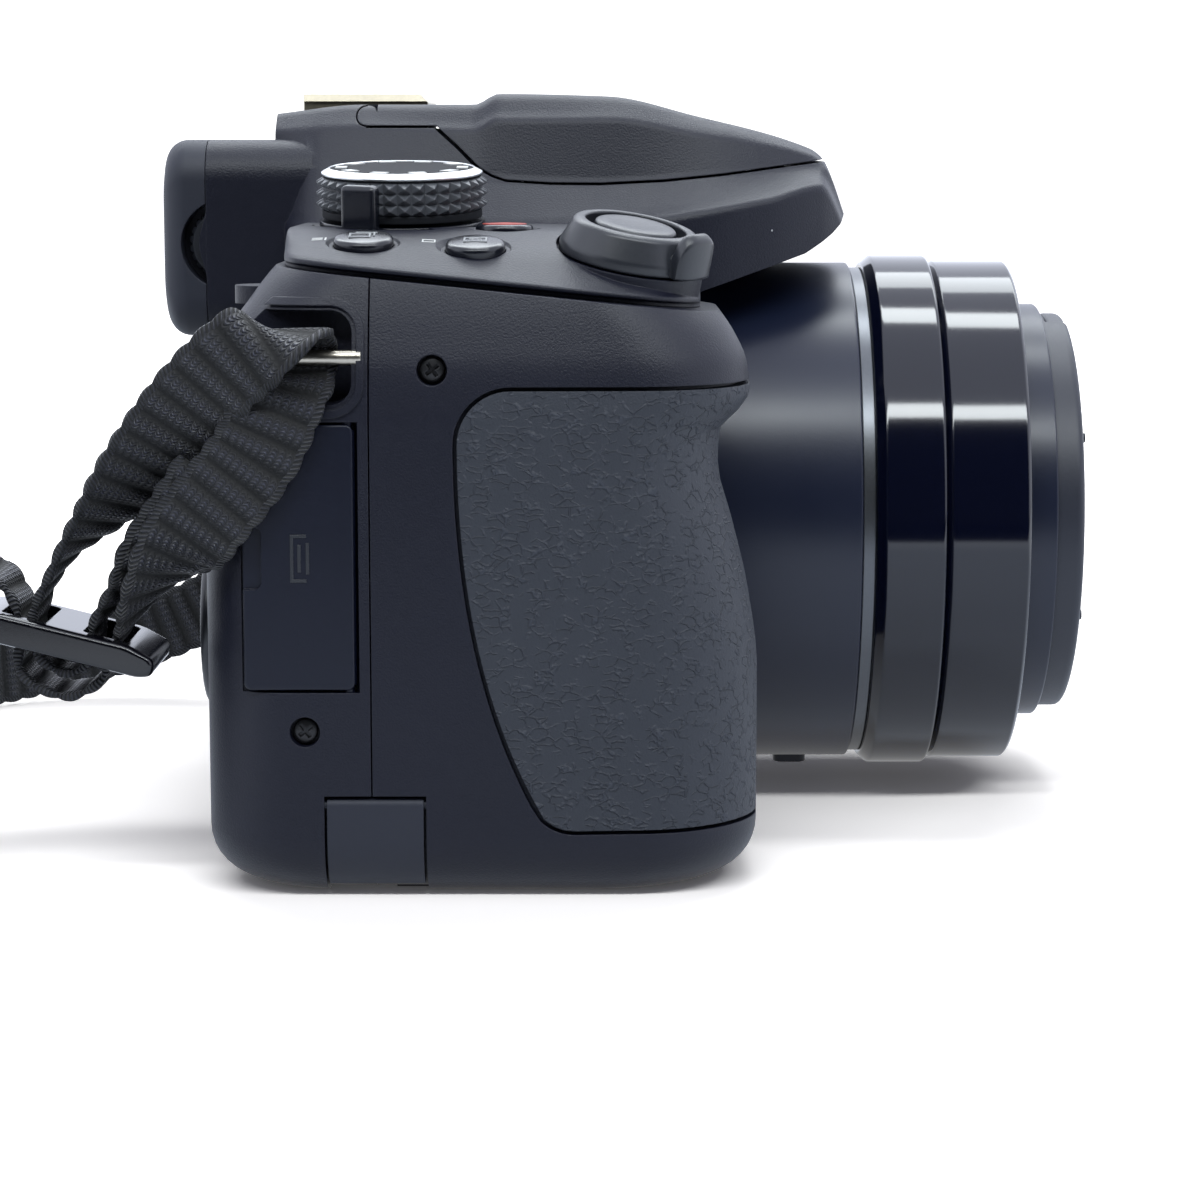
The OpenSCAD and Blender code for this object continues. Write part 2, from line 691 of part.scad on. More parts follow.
function hump_half(x) = [[hump_low_w(x), hump_low], [hump_low_w(x), hump_fold(x) - 1.4],
    [hump_fold_w(x), hump_fold(x)], [hump_seam_w(x), hump_seam(x)], [hump_edge_w(x), hump_edge(x)],
    [hump_edge_w(x) - 1.2, hump_edge(x) + min(0.9, (hump_top(x) - hump_edge(x)) / 2)],
    [hump_top_w(x), hump_top(x)]];

module hump_solid() {
    loft([for (x = hump_stations) [for (p = concat(hump_half(x), mirrored(hump_half(x)))) [x, p[0],
        p[1]]]]);
}

module lid_zone(g) {
    difference() {
        union() {
            slab_y(lid_seam(g), [-far, far]);
            translate([flash_axis[0], 0, flash_axis[1]]) rod_y(arm_half + 2 * g, [-far, far]);
        }
        translate([flash_axis[0], 0, flash_axis[1]]) rod_y(lid_clear_r - g, [-arm_in + g, arm_in - g]);
        block([-far, flash_axis[0] + 3], [-arm_in + g, arm_in - g], [0, far]);
    }
}

module finder_housing() {
    color([0.1, 0.1, 0.11]) difference() {
        union() {
            difference() {
                hump_solid();
                block([-far, front_depth + seat_gap], [-far, far], [0, case_h + seat_gap / 4]);
                slab_y([[front_depth, case_h - 5.2], [32, case_h + 5], [32, 0], [front_depth, 0]],
                    [-far, far]);
            }
            translate([0, 0, tunnel_mid]) slab_x(2 * tunnel_half, tunnel_h, 5,
                [-tunnel_back, tunnel_front]);
        }
        on_axis() {
            rod_x(barrel_r + move_gap, [front_depth, far]);
            rod_x(spigot_r + seat_gap, [-far, far]);
        }
        lid_zone(move_gap);
        block([-10, 24], [-11.5, 11.5], [case_h + 4.5, far]);
        block([-far, flash_axis[0] + lid_clear_r - seat_gap],
            [-shoe_w / 2 - shoe_wall - seat_gap, shoe_w / 2 + shoe_wall + seat_gap],
                [shoe_floor - 0.6, far]);
        translate([flash_axis[0], 0, flash_axis[1]])
            rod_y(hinge_pin_r + seat_gap / 4, [-flash_pin_half, flash_pin_half]);
        translate([0, 0, tunnel_mid]) rod_x(eye_bore + seat_gap, [-far, -38]);
        translate([diopter_at[0], 0, diopter_at[1]]) {
            rod_y(diopter_r + move_gap, [diopter_y - move_gap, diopter_y + diopter_t + move_gap]);
            rod_y(1 + run_fit, [diopter_y, diopter_y + diopter_t + 3]);
        }
        flash_button_place() translate([0, 0, -7.4]) cylinder(r = 3 + seat_gap, h = 12);
    }
}

module flash_button_place() {
    translate([-22, hump_fold_w(-22) - 0.4, case_h + 7.6]) rotate([-90, 0, 0]) children();
}

module flash_button() {
    color([0.08, 0.08, 0.09]) flash_button_place() translate([0, 0, -5]) button_cap(3, 5.6, 0.3);
}

module flash_lid() {
    color([0.1, 0.1, 0.11]) difference() {
        intersection() {
            hump_solid();
            lid_zone(0);
        }
        block(window_x, [-11, 11], [0, case_h + 15.4]);
        block(reflector_x, [-9, 9], [0, case_h + 17.2]);
        translate([flash_axis[0], 0, flash_axis[1]]) rod_y(hinge_pin_r + run_fit, [-far, far]);
    }
}

module flash_pin() {
    color([0.7, 0.7, 0.68]) translate([flash_axis[0], 0, flash_axis[1]])
        for (s = [-1, 1]) rod_y(hinge_pin_r, s > 0 ? [flash_pin_in, flash_pin_half - 0.2]
            : [0.2 - flash_pin_half, -flash_pin_in]);
}

module flash_window() {
    color([0.85, 0.88, 0.9]) difference() {
        block([window_x[0] + seat_gap, window_x[1] - seat_gap], [-11 + seat_gap, 11 - seat_gap],
            [case_h + 12.6, case_h + 15.4 - seat_gap]);
        block([window_x[0] + 2, window_x[1] - 2], [-9.2, 9.2], [case_h + 13.6, far]);
    }
}

module flash_reflector() {
    color([0.8, 0.8, 0.82]) difference() {
        block([reflector_x[0] + seat_gap, reflector_x[1] - seat_gap], [-9 + seat_gap, 9 - seat_gap],
            [case_h + 13.8, case_h + 17.1]);
        translate([(reflector_x[0] + reflector_x[1]) / 2, 0, case_h + 11.6]) rod_y(4.2, [-far, far]);
    }
}

module shoe_rails() {
    w = shoe_w / 2;
    color([0.78, 0.76, 0.66]) difference() {
        block([shoe_back, shoe_front], [-w - shoe_wall, w + shoe_wall], [shoe_floor - 0.5, shoe_top]);
        block([shoe_back - 1, shoe_front - 1.6], [-w, w], [shoe_floor, shoe_top - shoe_wall]);
        block([shoe_back - 1, shoe_front - 1.6], [-shoe_lip / 2, shoe_lip / 2], [shoe_floor, far]);
        block([shoe_back + 2, shoe_front - 4], [-6, 6], [0, far]);
        slab_y([[shoe_front - shoe_slope, shoe_top], [shoe_front, shoe_top - shoe_slope],
            [far, shoe_top - shoe_slope], [far, far], [shoe_front - shoe_slope, far]], [-far, far]);
    }
}

// Contact block set in the floor of the shoe, with one round contact
module shoe_block() {
    color([0.05, 0.05, 0.05]) difference() {
        block([shoe_back + 2 + seat_gap, shoe_front - 4 - seat_gap], [-6 + seat_gap, 6 - seat_gap],
            [shoe_floor - 0.5, shoe_floor]);
        translate([(shoe_back + shoe_front) / 2, 0, shoe_floor - 0.2]) cylinder(r = 1.6, h = 1);
    }
}

function frame_ring(x, inset) =
    let (w = tunnel_half - inset, h = tunnel_h / 2 - inset, r = 5)
    [for (p = concat(arc([w - r, r - h], r, 270, 360, 4), arc([w - r, h - r], r, 0, 90, 4),
        arc([r - w, h - r], r, 90, 180, 4), arc([r - w, r - h], r, 180, 270, 4))) [x, p[0],
            tunnel_mid + p[1]]];

module eyecup() {
    back = -tunnel_back - eyecup_len;
    round_r = 3;
    color([0.07, 0.07, 0.08]) difference() {
        loft(concat([for (a = [0:22.5:90]) frame_ring(back + round_r * (1 - cos(a)),
            round_r * (1 - sin(a)))],
            [frame_ring(-tunnel_back - seat_gap, 0)]));
        translate([0, 0, tunnel_mid]) {
            slab_x(26, 16, 4, [-far, 0]);
            slab_x(30, 19, 4, [-far, back + 2]);
        }
        translate([diopter_at[0], 0, diopter_at[1]])
            rod_y(diopter_r + move_gap + 0.6, [-far, diopter_y + diopter_t + move_gap]);
    }
}

module eyepiece_glass() {
    color([0.5, 0.6, 0.65]) translate([eye_glass, 0, tunnel_mid]) rotate([0, -90, 0])
        glass(eye_bore, 2, 30);
}

module diopter_wheel() {
    teeth = 24;
    color([0.1, 0.1, 0.1]) translate([diopter_at[0], diopter_y + diopter_t, diopter_at[1]])
        rotate([90, 0, 0]) {
        linear_extrude(diopter_t) polygon([for (k = [0:2 * teeth - 1])
            let (r = diopter_r - (k % 2) * 0.4) [r * cos(k * 180 / teeth), r * sin(k * 180 / teeth)]]);
        translate([0, 0, -2.5]) cylinder(r = 1, h = 2.6);
    }
}

// Fixed barrel: spigot in the casing, flange, tube, and a thinner neck for the rings
module lens_barrel() {
    color([0.11, 0.12, 0.14]) difference() {
        union() {
            on_axis() {
                rod_x(spigot_r, [-17, front_depth + 1]);
                rod_x(barrel_r, [front_depth + seat_gap, barrel_end]);
                rod_x(neck_r, [front_depth + 1, hood_end - 1.2]);
                rotate([4, 0, 0]) translate([24.8, 0, -barrel_r]) cube([4.2, 6, 2.6], center = true);
            }
        }
        on_axis() {
            rod_x(barrel_bore, [front_depth + 2, far]);
            rod_x(spigot_r - 3, [-far, far]);
            switch_place() translate([0, 0, -0.9]) linear_extrude(4)
                square([9 + 2 * move_gap, 4 + 2 * move_gap], center = true);
        }
    }
}

module switch_place() {
    rotate([-125, 0, 0]) translate([18, 0, barrel_r]) children();
}

module focus_switch() {
    color([0.08, 0.08, 0.09]) on_axis() switch_place() {
        translate([0, 0, -0.3]) cube([3.6, 4, 1.1], center = true);
        translate([0, 0, 0.5]) cube([2.4, 3.4, 1.2], center = true);
    }
}

module trim_ring() {
    color([0.6, 0.6, 0.6]) lens_ring(barrel_r - 0.5, neck_r + seat_gap,
        [barrel_end + 0.02, ring_start - 0.02]);
}

module rear_ring() {
    color([0.03, 0.03, 0.03]) on_axis() rotate([0, 90, 0]) rotate_extrude() polygon([
        [neck_r + seat_gap, ring_start], [ring_r - 1, ring_start], [ring_r, ring_start + 1.2],
        [ring_r, hood_start - 0.4], [ring_r - 0.4, hood_start], [neck_r + seat_gap, hood_start]]);
}

module hood_ring() {
    color([0.03, 0.03, 0.03]) on_axis() rotate([0, 90, 0]) rotate_extrude() polygon([
        [neck_r + seat_gap, hood_start + 0.02], [hood_r - 0.5, hood_start + 0.02],
            [hood_r - 0.5, hood_start + 0.6],
        [hood_r, hood_start + 0.6], [hood_r, hood_end - 0.5], [hood_r - 0.5, hood_end],
        [barrel_bore, hood_end], [barrel_bore, hood_end - 1.1], [neck_r + seat_gap, hood_end - 1.1]]);
}

module middle_tube() {
    color([0.08, 0.08, 0.09]) lens_ring(middle_r, tube_r + run_fit, [tube_back, hood_end - 0.8]);
}

module front_tube() {
    color([0.09, 0.09, 0.1]) on_axis() rotate([0, 90, 0]) rotate_extrude() polygon([
        [tube_bore, tube_back], [tube_r, tube_back], [tube_r, tube_end - 0.4], [tube_r - 0.4, tube_end],
        [filter_r, tube_end], [filter_r, tube_end - filter_depth], [tube_bore, tube_end - filter_depth],
        [tube_bore, glass_seat], [tube_bore - 2, glass_seat], [tube_bore - 2, glass_seat - 1.5],
        [tube_bore, glass_seat - 1.5]]);
}

module front_glass() {
    color([0.4, 0.45, 0.55]) on_axis() translate([glass_seat, 0, 0]) rotate([0, 90, 0])
        glass(tube_bore - seat_gap, 2, 90);
}

// Round lens element: flat back at Z 0, edge of height h, domed front of radius dome
module glass(r, h, dome) {
    rim = sqrt(dome * dome - r * r);
    rotate_extrude() polygon(concat([[0, 0], [r, 0]],
        [for (k = [6:-1:0]) [r * k / 6, h + sqrt(dome * dome - pow(r * k / 6, 2)) - rim]]));
}

module retaining_ring() {
    r = tube_bore - seat_gap;
    color([0.05, 0.05, 0.05]) on_axis() rotate([0, 90, 0]) rotate_extrude() polygon([
        [r - 1.8, glass_seat + 5.5], [r, glass_seat + 5.5], [r, tube_end - filter_depth + 0.4],
        [r - 0.8, tube_end - filter_depth + 0.4]]);
}

module sensor_unit() {
    color([0.2, 0.3, 0.25]) on_axis() difference() {
        union() {
            rod_x(spigot_r - seat_gap, [-seam_back + 0.6, -17.2]);
            rod_x(13, [-18, -4]);
        }
        rod_x(rear_glass_r + seat_gap, [-14, 0]);
        rod_x(7, [-16.5, 0]);
    }
}

module rear_glass() {
    color([0.5, 0.6, 0.7]) on_axis() translate([-14 + seat_gap, 0, 0]) rotate([0, 90, 0])
        glass(rear_glass_r, 2, 24);
}

// Filter-thread cap with a shallow front recess and grip nubs
module lens_cap() {
    r = filter_r - 0.15;
    color([0.08, 0.08, 0.09]) on_axis() difference() {
        union() {
            rotate([0, 90, 0]) rotate_extrude() polygon([[0, tube_end - 0.6], [r - 2, tube_end - 0.6],
                [r - 2, tube_end - 3], [r, tube_end - 3], [r, cap_end - 0.8], [r - 0.8, cap_end],
                [r - 6, cap_end], [r - 7, cap_end - 1], [0, cap_end - 1]]);
            for (y = [-1, 1]) for (z = [-1, 1]) translate([0, y * 0.74 * filter_r, z * 0.43 * filter_r])
                rod_x(0.9,
                [cap_end - 0.6, cap_end + 0.6]);
        }
        for (z = [-1, 1]) latch_pocket(z);
    }
}

module latch_pocket(z) {
    translate([tube_end + 0.6, -latch_w / 2 - seat_gap, z > 0 ? latch_in - latch_travel - 0.4 : -far])
        cube([far, latch_w + 2 * seat_gap, far - latch_in + latch_travel + 0.4]);
}
latch_in = filter_r - 7.2;
latch_travel = 1.5;

module cap_latch(z) {
    r = filter_r - 0.3;
    color([0.1, 0.1, 0.1]) on_axis() difference() {
        intersection() {
            rod_x(r, [tube_end + 0.6 + seat_gap, cap_end - 0.2]);
            block([0, far], [-latch_w / 2, latch_w / 2], z > 0 ? [latch_in, far] : [-far, -latch_in]);
        }
        for (k = [0:3]) translate([cap_end - 0.2, 0, z * (latch_in + 1.6 + 1.4 * k)])
            rotate([90, 0, 0]) cylinder(r = 0.35, h = far, center = true);
    }
}

module cap_latch_top() {
    cap_latch(1);
}

module cap_latch_bottom() {
    cap_latch(-1);
}

// Mode dial: three rows of pyramid knurl between two plain bands, on a shaft
module mode_dial() {
    pyramids = 36;
    rows = 3;
    low = lever_t + 2 * seat_gap + 0.3;
    band = 0.9;
    step = (dial_h - 2 * band) / (2 * rows);
    function knurl(k, j) = dial_r - 0.9 + ((k % 2 == 1) && (j % 2 == 1) ? 0.9 : 0);
    function dial_band(z, i) = [for (k = [0:2 * pyramids - 1])
        let (a = k * 180 / pyramids, r = dial_r - 0.9 - i)
        [r * cos(a), r * sin(a), z]];
    color([0.07, 0.07, 0.08]) dial_place() {
        translate([0, 0, low]) loft(concat([dial_band(0, 0)],
            [for (j = [0:2 * rows]) [for (k = [0:2 * pyramids - 1])
            let (a = k * 180 / pyramids, r = knurl(k, j)) [r * cos(a), r * sin(a), band + j * step]]],
            [dial_band(dial_h - 0.4, 0), dial_band(dial_h, 0.5)]));
        translate([0, 0, -3]) cylinder(r = dial_shaft_r, h = low + 3.5);
    }
}

module power_lever() {
    color([0.06, 0.06, 0.07]) dial_place() translate([0, 0, seat_gap]) {
        difference() {
            cylinder(r = dial_r - 0.4, h = lever_t);
            translate([0, 0, -1]) cylinder(r = dial_neck_r + run_fit, h = lever_t + 2);
        }
        rotate([0, 0, power_angle]) {
            translate([dial_r - 2, -1.9, 0]) cube([power_tab_r - dial_r + 2, 3.8, lever_t]);
            translate([power_tab_r - 1.9, -2.1, 0]) cube([1.9, 4.2, 5.8]);
        }
    }
}

// Zoom lever: conical ring with a raised thumb tab in front
module zoom_lever() {
    tab_angle = -37;
    color([0.09, 0.09, 0.1]) shutter_place() translate([0, 0, seat_gap + 0.1]) difference() {
        union() {
            rotate_extrude() polygon([[0, 0], [lever_r, 0], [lever_r, 1.2],
                [lever_r - 1.2, lever_h - 0.3],
                [lever_r - 1.6, lever_h], [0, lever_h]]);
            rotate([0, 0, tab_angle]) translate([lever_r - 2.4, -2.6, 0]) cube([3.9, 5.2, lever_h + 1.2]);
        }
        translate([0, 0, -1]) cylinder(r = shutter_r + 1 + run_fit, h = far);
    }
}

module shutter_button() {
    color([0.1, 0.1, 0.11]) shutter_place() translate([0, 0, -0.6])
        button_cap(shutter_r, lever_h + 0.7, 0.3);
}

module burst_button() {
    color([0.05, 0.05, 0.05]) translate(burst_at) rotate([button_tilt, 0, 0]) translate([0, 0, -1.5])
        button_cap(button_r, 2.1, 0.3);
}

module function_button() {
    color([0.05, 0.05, 0.05]) translate(function_at) rotate([button_tilt, 0, 0]) translate([0, 0, -1.5])
        button_cap(button_r, 2.1, 0.3);
}

module record_button() {
    color([0.05, 0.05, 0.05]) translate(record_at) translate([0, 0, -1.5]) button_cap(button_r, 1.9, 0.2);
}

module rear_dial() {
    ribs = 30;
    color([0.07, 0.07, 0.07]) translate(rear_dial_at) {
        linear_extrude(rear_dial_t, center = true) polygon([for (k = [0:2 * ribs - 1])
            let (r = rear_dial_r - (k % 2) * 0.45) [r * cos(k * 180 / ribs), r * sin(k * 180 / ribs)]]);
        cylinder(r = 1, h = rear_dial_t + 2.4, center = true);
    }
}

module rear_button(p) {
    color([0.08, 0.08, 0.09]) translate([-rear_depth, p[0], p[1]]) rotate([0, -90, 0])
        translate([0, 0, -1.6])
        button_cap(rear_button_r, 2.2, 0.2);
}

module lock_button() {
    rear_button(lock_at);
}

module play_button() {
    rear_button(play_at);
}

module menu_button() {
    rear_button(menu_at);
}

module display_button() {
    rear_button(display_at);
}

// Four-way pad with a raised middle key
module cursor_pad() {
    color([0.08, 0.08, 0.09]) translate([-rear_depth, pad_at[0], pad_at[1]]) rotate([0, -90, 0])
        translate([0, 0, -1.8]) rotate_extrude() polygon([[0, 0], [pad_r, 0], [pad_r, 2.4],
            [pad_r - 0.5, 2.9],
            [4.2, 2.5], [4.2, 2], [3.6, 2], [3.6, 2.9], [3.2, 3.2], [0, 3.2]]);
}

module monitor() {
    color([0.09, 0.09, 0.1]) difference() {
        union() {
            block([-monitor_back, -monitor_back + monitor_t], [monitor_right,
                monitor_axis[1] - knuckle_r - move_gap - 0.2],
                [monitor_low, monitor_low + monitor_h]);
            translate([monitor_axis[0], monitor_axis[1], monitor_low + 2]) {
                cylinder(r = knuckle_r, h = monitor_h - 4);
                translate([0, 0, -1.5]) cylinder(r = 1, h = monitor_h - 1);
                translate([hinge_groove - knuckle_r, -knuckle_r - 1, 0])
                    cube([2 * knuckle_r - hinge_groove, knuckle_r + 1, monitor_h - 4]);
            }
        }
        monitor_window(0);
    }
}

module monitor_window(g) {
    block([-monitor_back - (g > 0 ? 0 : 1), -monitor_back + 0.8],
        [monitor_right + 3 + g, monitor_axis[1] - 5 - g],
        [monitor_low + 3 + g, monitor_low + monitor_h - 3 - g]);
}

module monitor_glass() {
    color([0.02, 0.02, 0.03]) monitor_window(seat_gap);
}

module main_board() {
    color([0.1, 0.35, 0.2]) intersection() {
        board_bay(0);
        block(board_x, [-far, far], [0, far]);
    }
}

module battery() {
    g = move_gap;
    color([0.3, 0.3, 0.32]) block([bay_x[0] + g, bay_x[1] - g], [bay_y[0] + g, bay_y[1] - g],
        [door_t + 2 * move_gap, bay_top - 3]);
}

// Socket shell behind the port door, open towards the door
module port_socket() {
    color([0.7, 0.7, 0.7]) difference() {
        intersection() {
            port_bore(0);
            block([-far, far], [-grip_side + door_t + 2 * move_gap, 0], [0, far]);
        }
        translate([port_hinge[0] - port_w / 2, -grip_side + door_t, port_hinge[2]])
            cube([2.6, 11, 10.4], center = true);
    }
}

module tripod_bush() {
    color([0.75, 0.75, 0.74]) translate([-tripod_back, 0, 0]) difference() {
        cylinder(r = bush_r, h = bush_h);
        translate([0, 0, -1]) cylinder(r = tripod_r, h = bush_h);
    }
}

module case_screws() {
    color([0.12, 0.12, 0.12]) screw_places() difference() {
        union() {
            translate([0, 0, -screw_deep - 1]) cylinder(r = screw_r, h = 1);
            translate([0, 0, -screw_deep - screw_len + 0.2]) cylinder(r = screw_r / 2, h = screw_len - 1);
        }
        for (a = [0, 90]) rotate([0, 0, a]) translate([0, 0, -screw_deep])
            cube([1.6, 0.35, 1], center = true);
    }
}

// Door over the side port, with a finger scoop at its free edge
// Finger notch at the free edge of a side door, half of it outside the leaf
door_notch = [4, 1.2, 6.8];

module port_door() {
    color([0.09, 0.09, 0.1]) port_place() difference() {
        leaf(port_w, port_h);
        translate([-port_w, -door_t / 2, 0]) cube(door_notch, center = true);
    }
}

module jack_door() {
    color([0.09, 0.09, 0.1]) jack_place() difference() {
        leaf(jack_w, jack_h);
        translate([-jack_w, -door_t / 2, 0]) cube(door_notch, center = true);
    }
}

module battery_door() {
    color([0.09, 0.09, 0.1]) battery_place() difference() {
        leaf(battery_w, battery_l);
        translate([-battery_w + 4, 0, 0]) latch_slot(seat_gap);
    }
}

// Keyway of the sliding latch in the battery door
module latch_slot(g) {
    cube([latch_l + slide_room + 2 * g, 4, 8 + 2 * g], center = true);
}
latch_l = 3.6;
slide_room = 2.6;

module door_latch() {
    color([0.2, 0.2, 0.2]) battery_place() translate([-battery_w + 4 - slide_room / 2, 0,
        0]) difference() {
        cube([latch_l, door_t - 0.1, 8], center = true);
        for (k = [-1:1]) translate([k * 1, -door_t / 2, 0]) cube([0.5, 0.6, 6], center = true);
    }
}

// Rubber flap over the cable way, cut from the casing's own skin
module cable_flap() {
    color([0.08, 0.08, 0.09]) {
        difference() {
            intersection() {
                case_solid(0);
                block(flap_x, [-far, -40], [flap_low, flap_hinge[1]]);
            }
            case_solid(door_t);
        }
        translate([0, flap_hinge[0], flap_hinge[1]]) {
            rod_x(door_t / 2, flap_x);
            rod_x(pin_r, [flap_x[0] - pin_len, flap_x[1] + pin_len]);
        }
    }
}

module grip_rubber() {
    color([0.16, 0.17, 0.18]) difference() {
        intersection() {
            case_solid(0);
            rubber_zone(0.12);
        }
        case_solid(rubber_t);
    }
}

// Strap routes: points and the way the width of the webbing faces there
right_route = [
    [[-41, -72.6, 46.5], [0.8, 0, -0.6]], [[-45.2, -71, 40.5], [0.75, 0.15, -0.6]],
    [[-50, -67.6, 35], [0.3, 0.9, -0.3]], [[-54.7, -66, 30.4], [0, 1, 0]],
    [[-55.2, -66, 26.6], [0, 1, 0]], [[-58, -66, 25.2], [0, 1, 0]], [[-61.2, -66, 27.6], [0, 1, 0]],
    [[-61.2, -66, 32], [0, 1, 0]], [[-58.4, -67, 37], [0, 1, -0.1]],
    [[-53.5, -68.5, 42.5], [0.3, 0.85, -0.35]], [[-48.5, -70.8, 48.5], [0.6, 0.5, -0.5]],
    [[-42.5, -73.4, 55.5], [0.8, 0.1, -0.6]], [[-37.5, -74.4, 60.2], [0.95, 0, -0.3]],
    [[-34, -72.6, 61.9], [1, 0, 0]], [[-33.2, -69.8, 61.6], [1, 0, 0]],
    [[-33.2, -67.5, 59.3], [1, 0, 0]], [[-33.2, -69.8, 57], [1, 0, 0]],
    [[-34.4, -72.6, 54.4], [1, 0, -0.2]], [[-37, -72.9, 49], [0.85, 0.1, -0.5]],
    [[-42.6, -72.4, 42], [0.72, 0, -0.6]], [[-47.8, -69.2, 35.5], [0.35, 0.85, -0.3]],
    [[-51.2, -66.3, 30.4], [0.05, 1, 0]], [[-53.3, -66, 27.4], [0, 1, 0]],
    [[-54, -66, 24.4], [0, 1, 0]], [[-58, -66, 22.6], [0, 1, 0]], [[-62.6, -66, 25], [0, 1, 0]],
    [[-62.9, -66, 29.4], [0, 1, 0]], [[-63.2, -66, 32.6], [0, 1, 0]],
    [[-65.8, -65.8, 35.6], [0, 1, 0.1]], [[-71.5, -65.8, 35.2], [0, 0.9, 0.4]],
    [[-80, -67, 31.6], [0, 0.7, 0.7]], [[-90, -70, 26], [0, 0.45, 0.9]],
    [[-103, -75.4, 20], [0, 0.2, 1]], [[-118, -80.6, 16.8], [0, 0, 1]],
    [[-137, -83, 15.8], [0, 0, 1]]];
left_route = [
    [[-137, 7, 5.1], [0, 0, 1]], [[-121, 9, 5.1], [0, 0, 1]], [[-108, 17, 5.1], [0, 0, 1]],
    [[-100, 30, 5.1], [0, 0, 1]], [[-94, 43, 5.1], [0, 0, 1]], [[-85, 53, 5.6], [0, 0, 1]],
    [[-73, 59.6, 7.8], [-0.1, 0, 1]], [[-61, 62.4, 12], [-0.4, 0, 0.9]],
    [[-51, 63.2, 18.6], [-0.5, 0, 0.85]], [[-43.5, 63, 27], [-0.6, 0, 0.7]],
    [[-38, 62.4, 36], [-0.8, 0, 0.5]], [[-34.6, 60.4, 45], [-0.95, 0, 0.3]],
    [[-33.3, 56.8, 53], [-1, 0, 0]], [[-33.2, 51.8, 57], [-1, 0, 0]],
    [[-33.2, 49.5, 59.3], [-1, 0, 0]], [[-33.2, 51.8, 61.6], [-1, 0, 0]],
    [[-33.4, 56, 60.6], [-1, 0, 0]], [[-34, 60.4, 55], [-1, 0, 0.1]],
    [[-35.8, 63.2, 47], [-0.95, 0, 0.3]], [[-38.6, 65.2, 39], [-0.8, 0, 0.5]]];
coil_mid = [-137, -38];
coil_out = 45;
coil_in = 36;
coil_turns = 1.5;
coil_lift = 10.7;
route_parts = 3;

function spline(a, b, c, d, t) = 0.5 * (2 * b + (c - a) * t + (2 * a - 5 * b + 4 * c - d) * t * t
    + (3 * b - a - 3 * c + d) * t * t * t);
function spline_run(list, k) =
    let (n = len(list))
    concat([for (i = [0:n - 2]) for (j = [0:route_parts - 1])
        spline(list[max(i - 1, 0)][k], list[i][k], list[i + 1][k], list[min(i + 2, n - 1)][k],
            j / route_parts)],
        [list[n - 1][k]]);

// Coil: in at the upper layer, down a layer in the half turn where it reverses, out at the lower one
function coil_point(a) =
    let (wind = 360 * coil_turns, b = a - wind, c = b - 180,
         r = b < 0 ? coil_out - (coil_out - coil_in) * a / wind
             : c < 0 ? coil_in - 2 * sin(b) : coil_in + (coil_out - coil_in) * c / wind,
         z = b < 0 ? 1 : c < 0 ? (1 + cos(b)) / 2 : 0)
    [coil_mid[0] + r * cos(-90 - a), coil_mid[1] + r * sin(-90 - a), strap_w / 2 + 0.1 + z * coil_lift];
coil_points = [for (a = [0:15:720 * coil_turns + 180]) coil_point(a)];

// Webbing swept along points, its width along the given ways
module webbing(pts, ways) {
    n = len(pts);
    loft([for (i = [0:n - 1])
        let (t = unit(pts[min(i + 1, n - 1)] - pts[max(i - 1, 0)]),
             w = unit(ways[i] - t * (ways[i] * t)) * strap_w / 2,
             u = unit(cross(t, w)) * strap_t / 2)
        [pts[i] - w - u, pts[i] + w - u, pts[i] + w + u, pts[i] - w + u]]);
}

module strap_right() {
    color([0.05, 0.05, 0.06]) webbing(spline_run(right_route, 0), spline_run(right_route, 1));
}

module strap_coil() {
    color([0.05, 0.05, 0.06]) webbing(coil_points, [for (p = coil_points) [0, 0, 1]]);
}

module strap_left() {
    color([0.05, 0.05, 0.06]) webbing(spline_run(left_route, 0), spline_run(left_route, 1));
}

// Two-slot slider on the right end of the strap
slider_at = [-58.2, -66, 28.6];
slider_tilt = 14;
module strap_slider() {
    color([0.02, 0.02, 0.02]) translate(slider_at) rotate([0, slider_tilt, 0]) difference() {
        hull() {
            for (u = [-1, 1]) translate([u * 9, 0, 0]) rotate([90, 0, 0])
                cylinder(r = 1.5, h = strap_w + 4.4, center = true, $fn = 24);
            translate([0, 0, 0.6]) cube([14, strap_w + 4.4, 2.6], center = true);
        }
        for (u = [-1, 1]) translate([u * 4.5, 0, 0]) cube([5, strap_w + 0.8, 9], center = true);
    }
}

function least_gap(pts, skip) = min([for (i = [0:len(pts) - 1]) for (j = [i + skip:1:len(pts) - 1])
    norm(pts[i] - pts[j])]) - strap_t;
function run_length(pts) = len(pts) < 2 ? 0
    : [for (i = 0, s = 0; i < len(pts); s = s + (i + 1 < len(pts) ? norm(pts[i + 1] - pts[i]) : 0),
        i = i + 1) s][len(pts) - 1];
echo(coil_gap = least_gap(coil_points, 12));
echo(strap_length = run_length(spline_run(right_route, 0)) + run_length(coil_points) +
    run_length(spline_run(left_route, 0)));

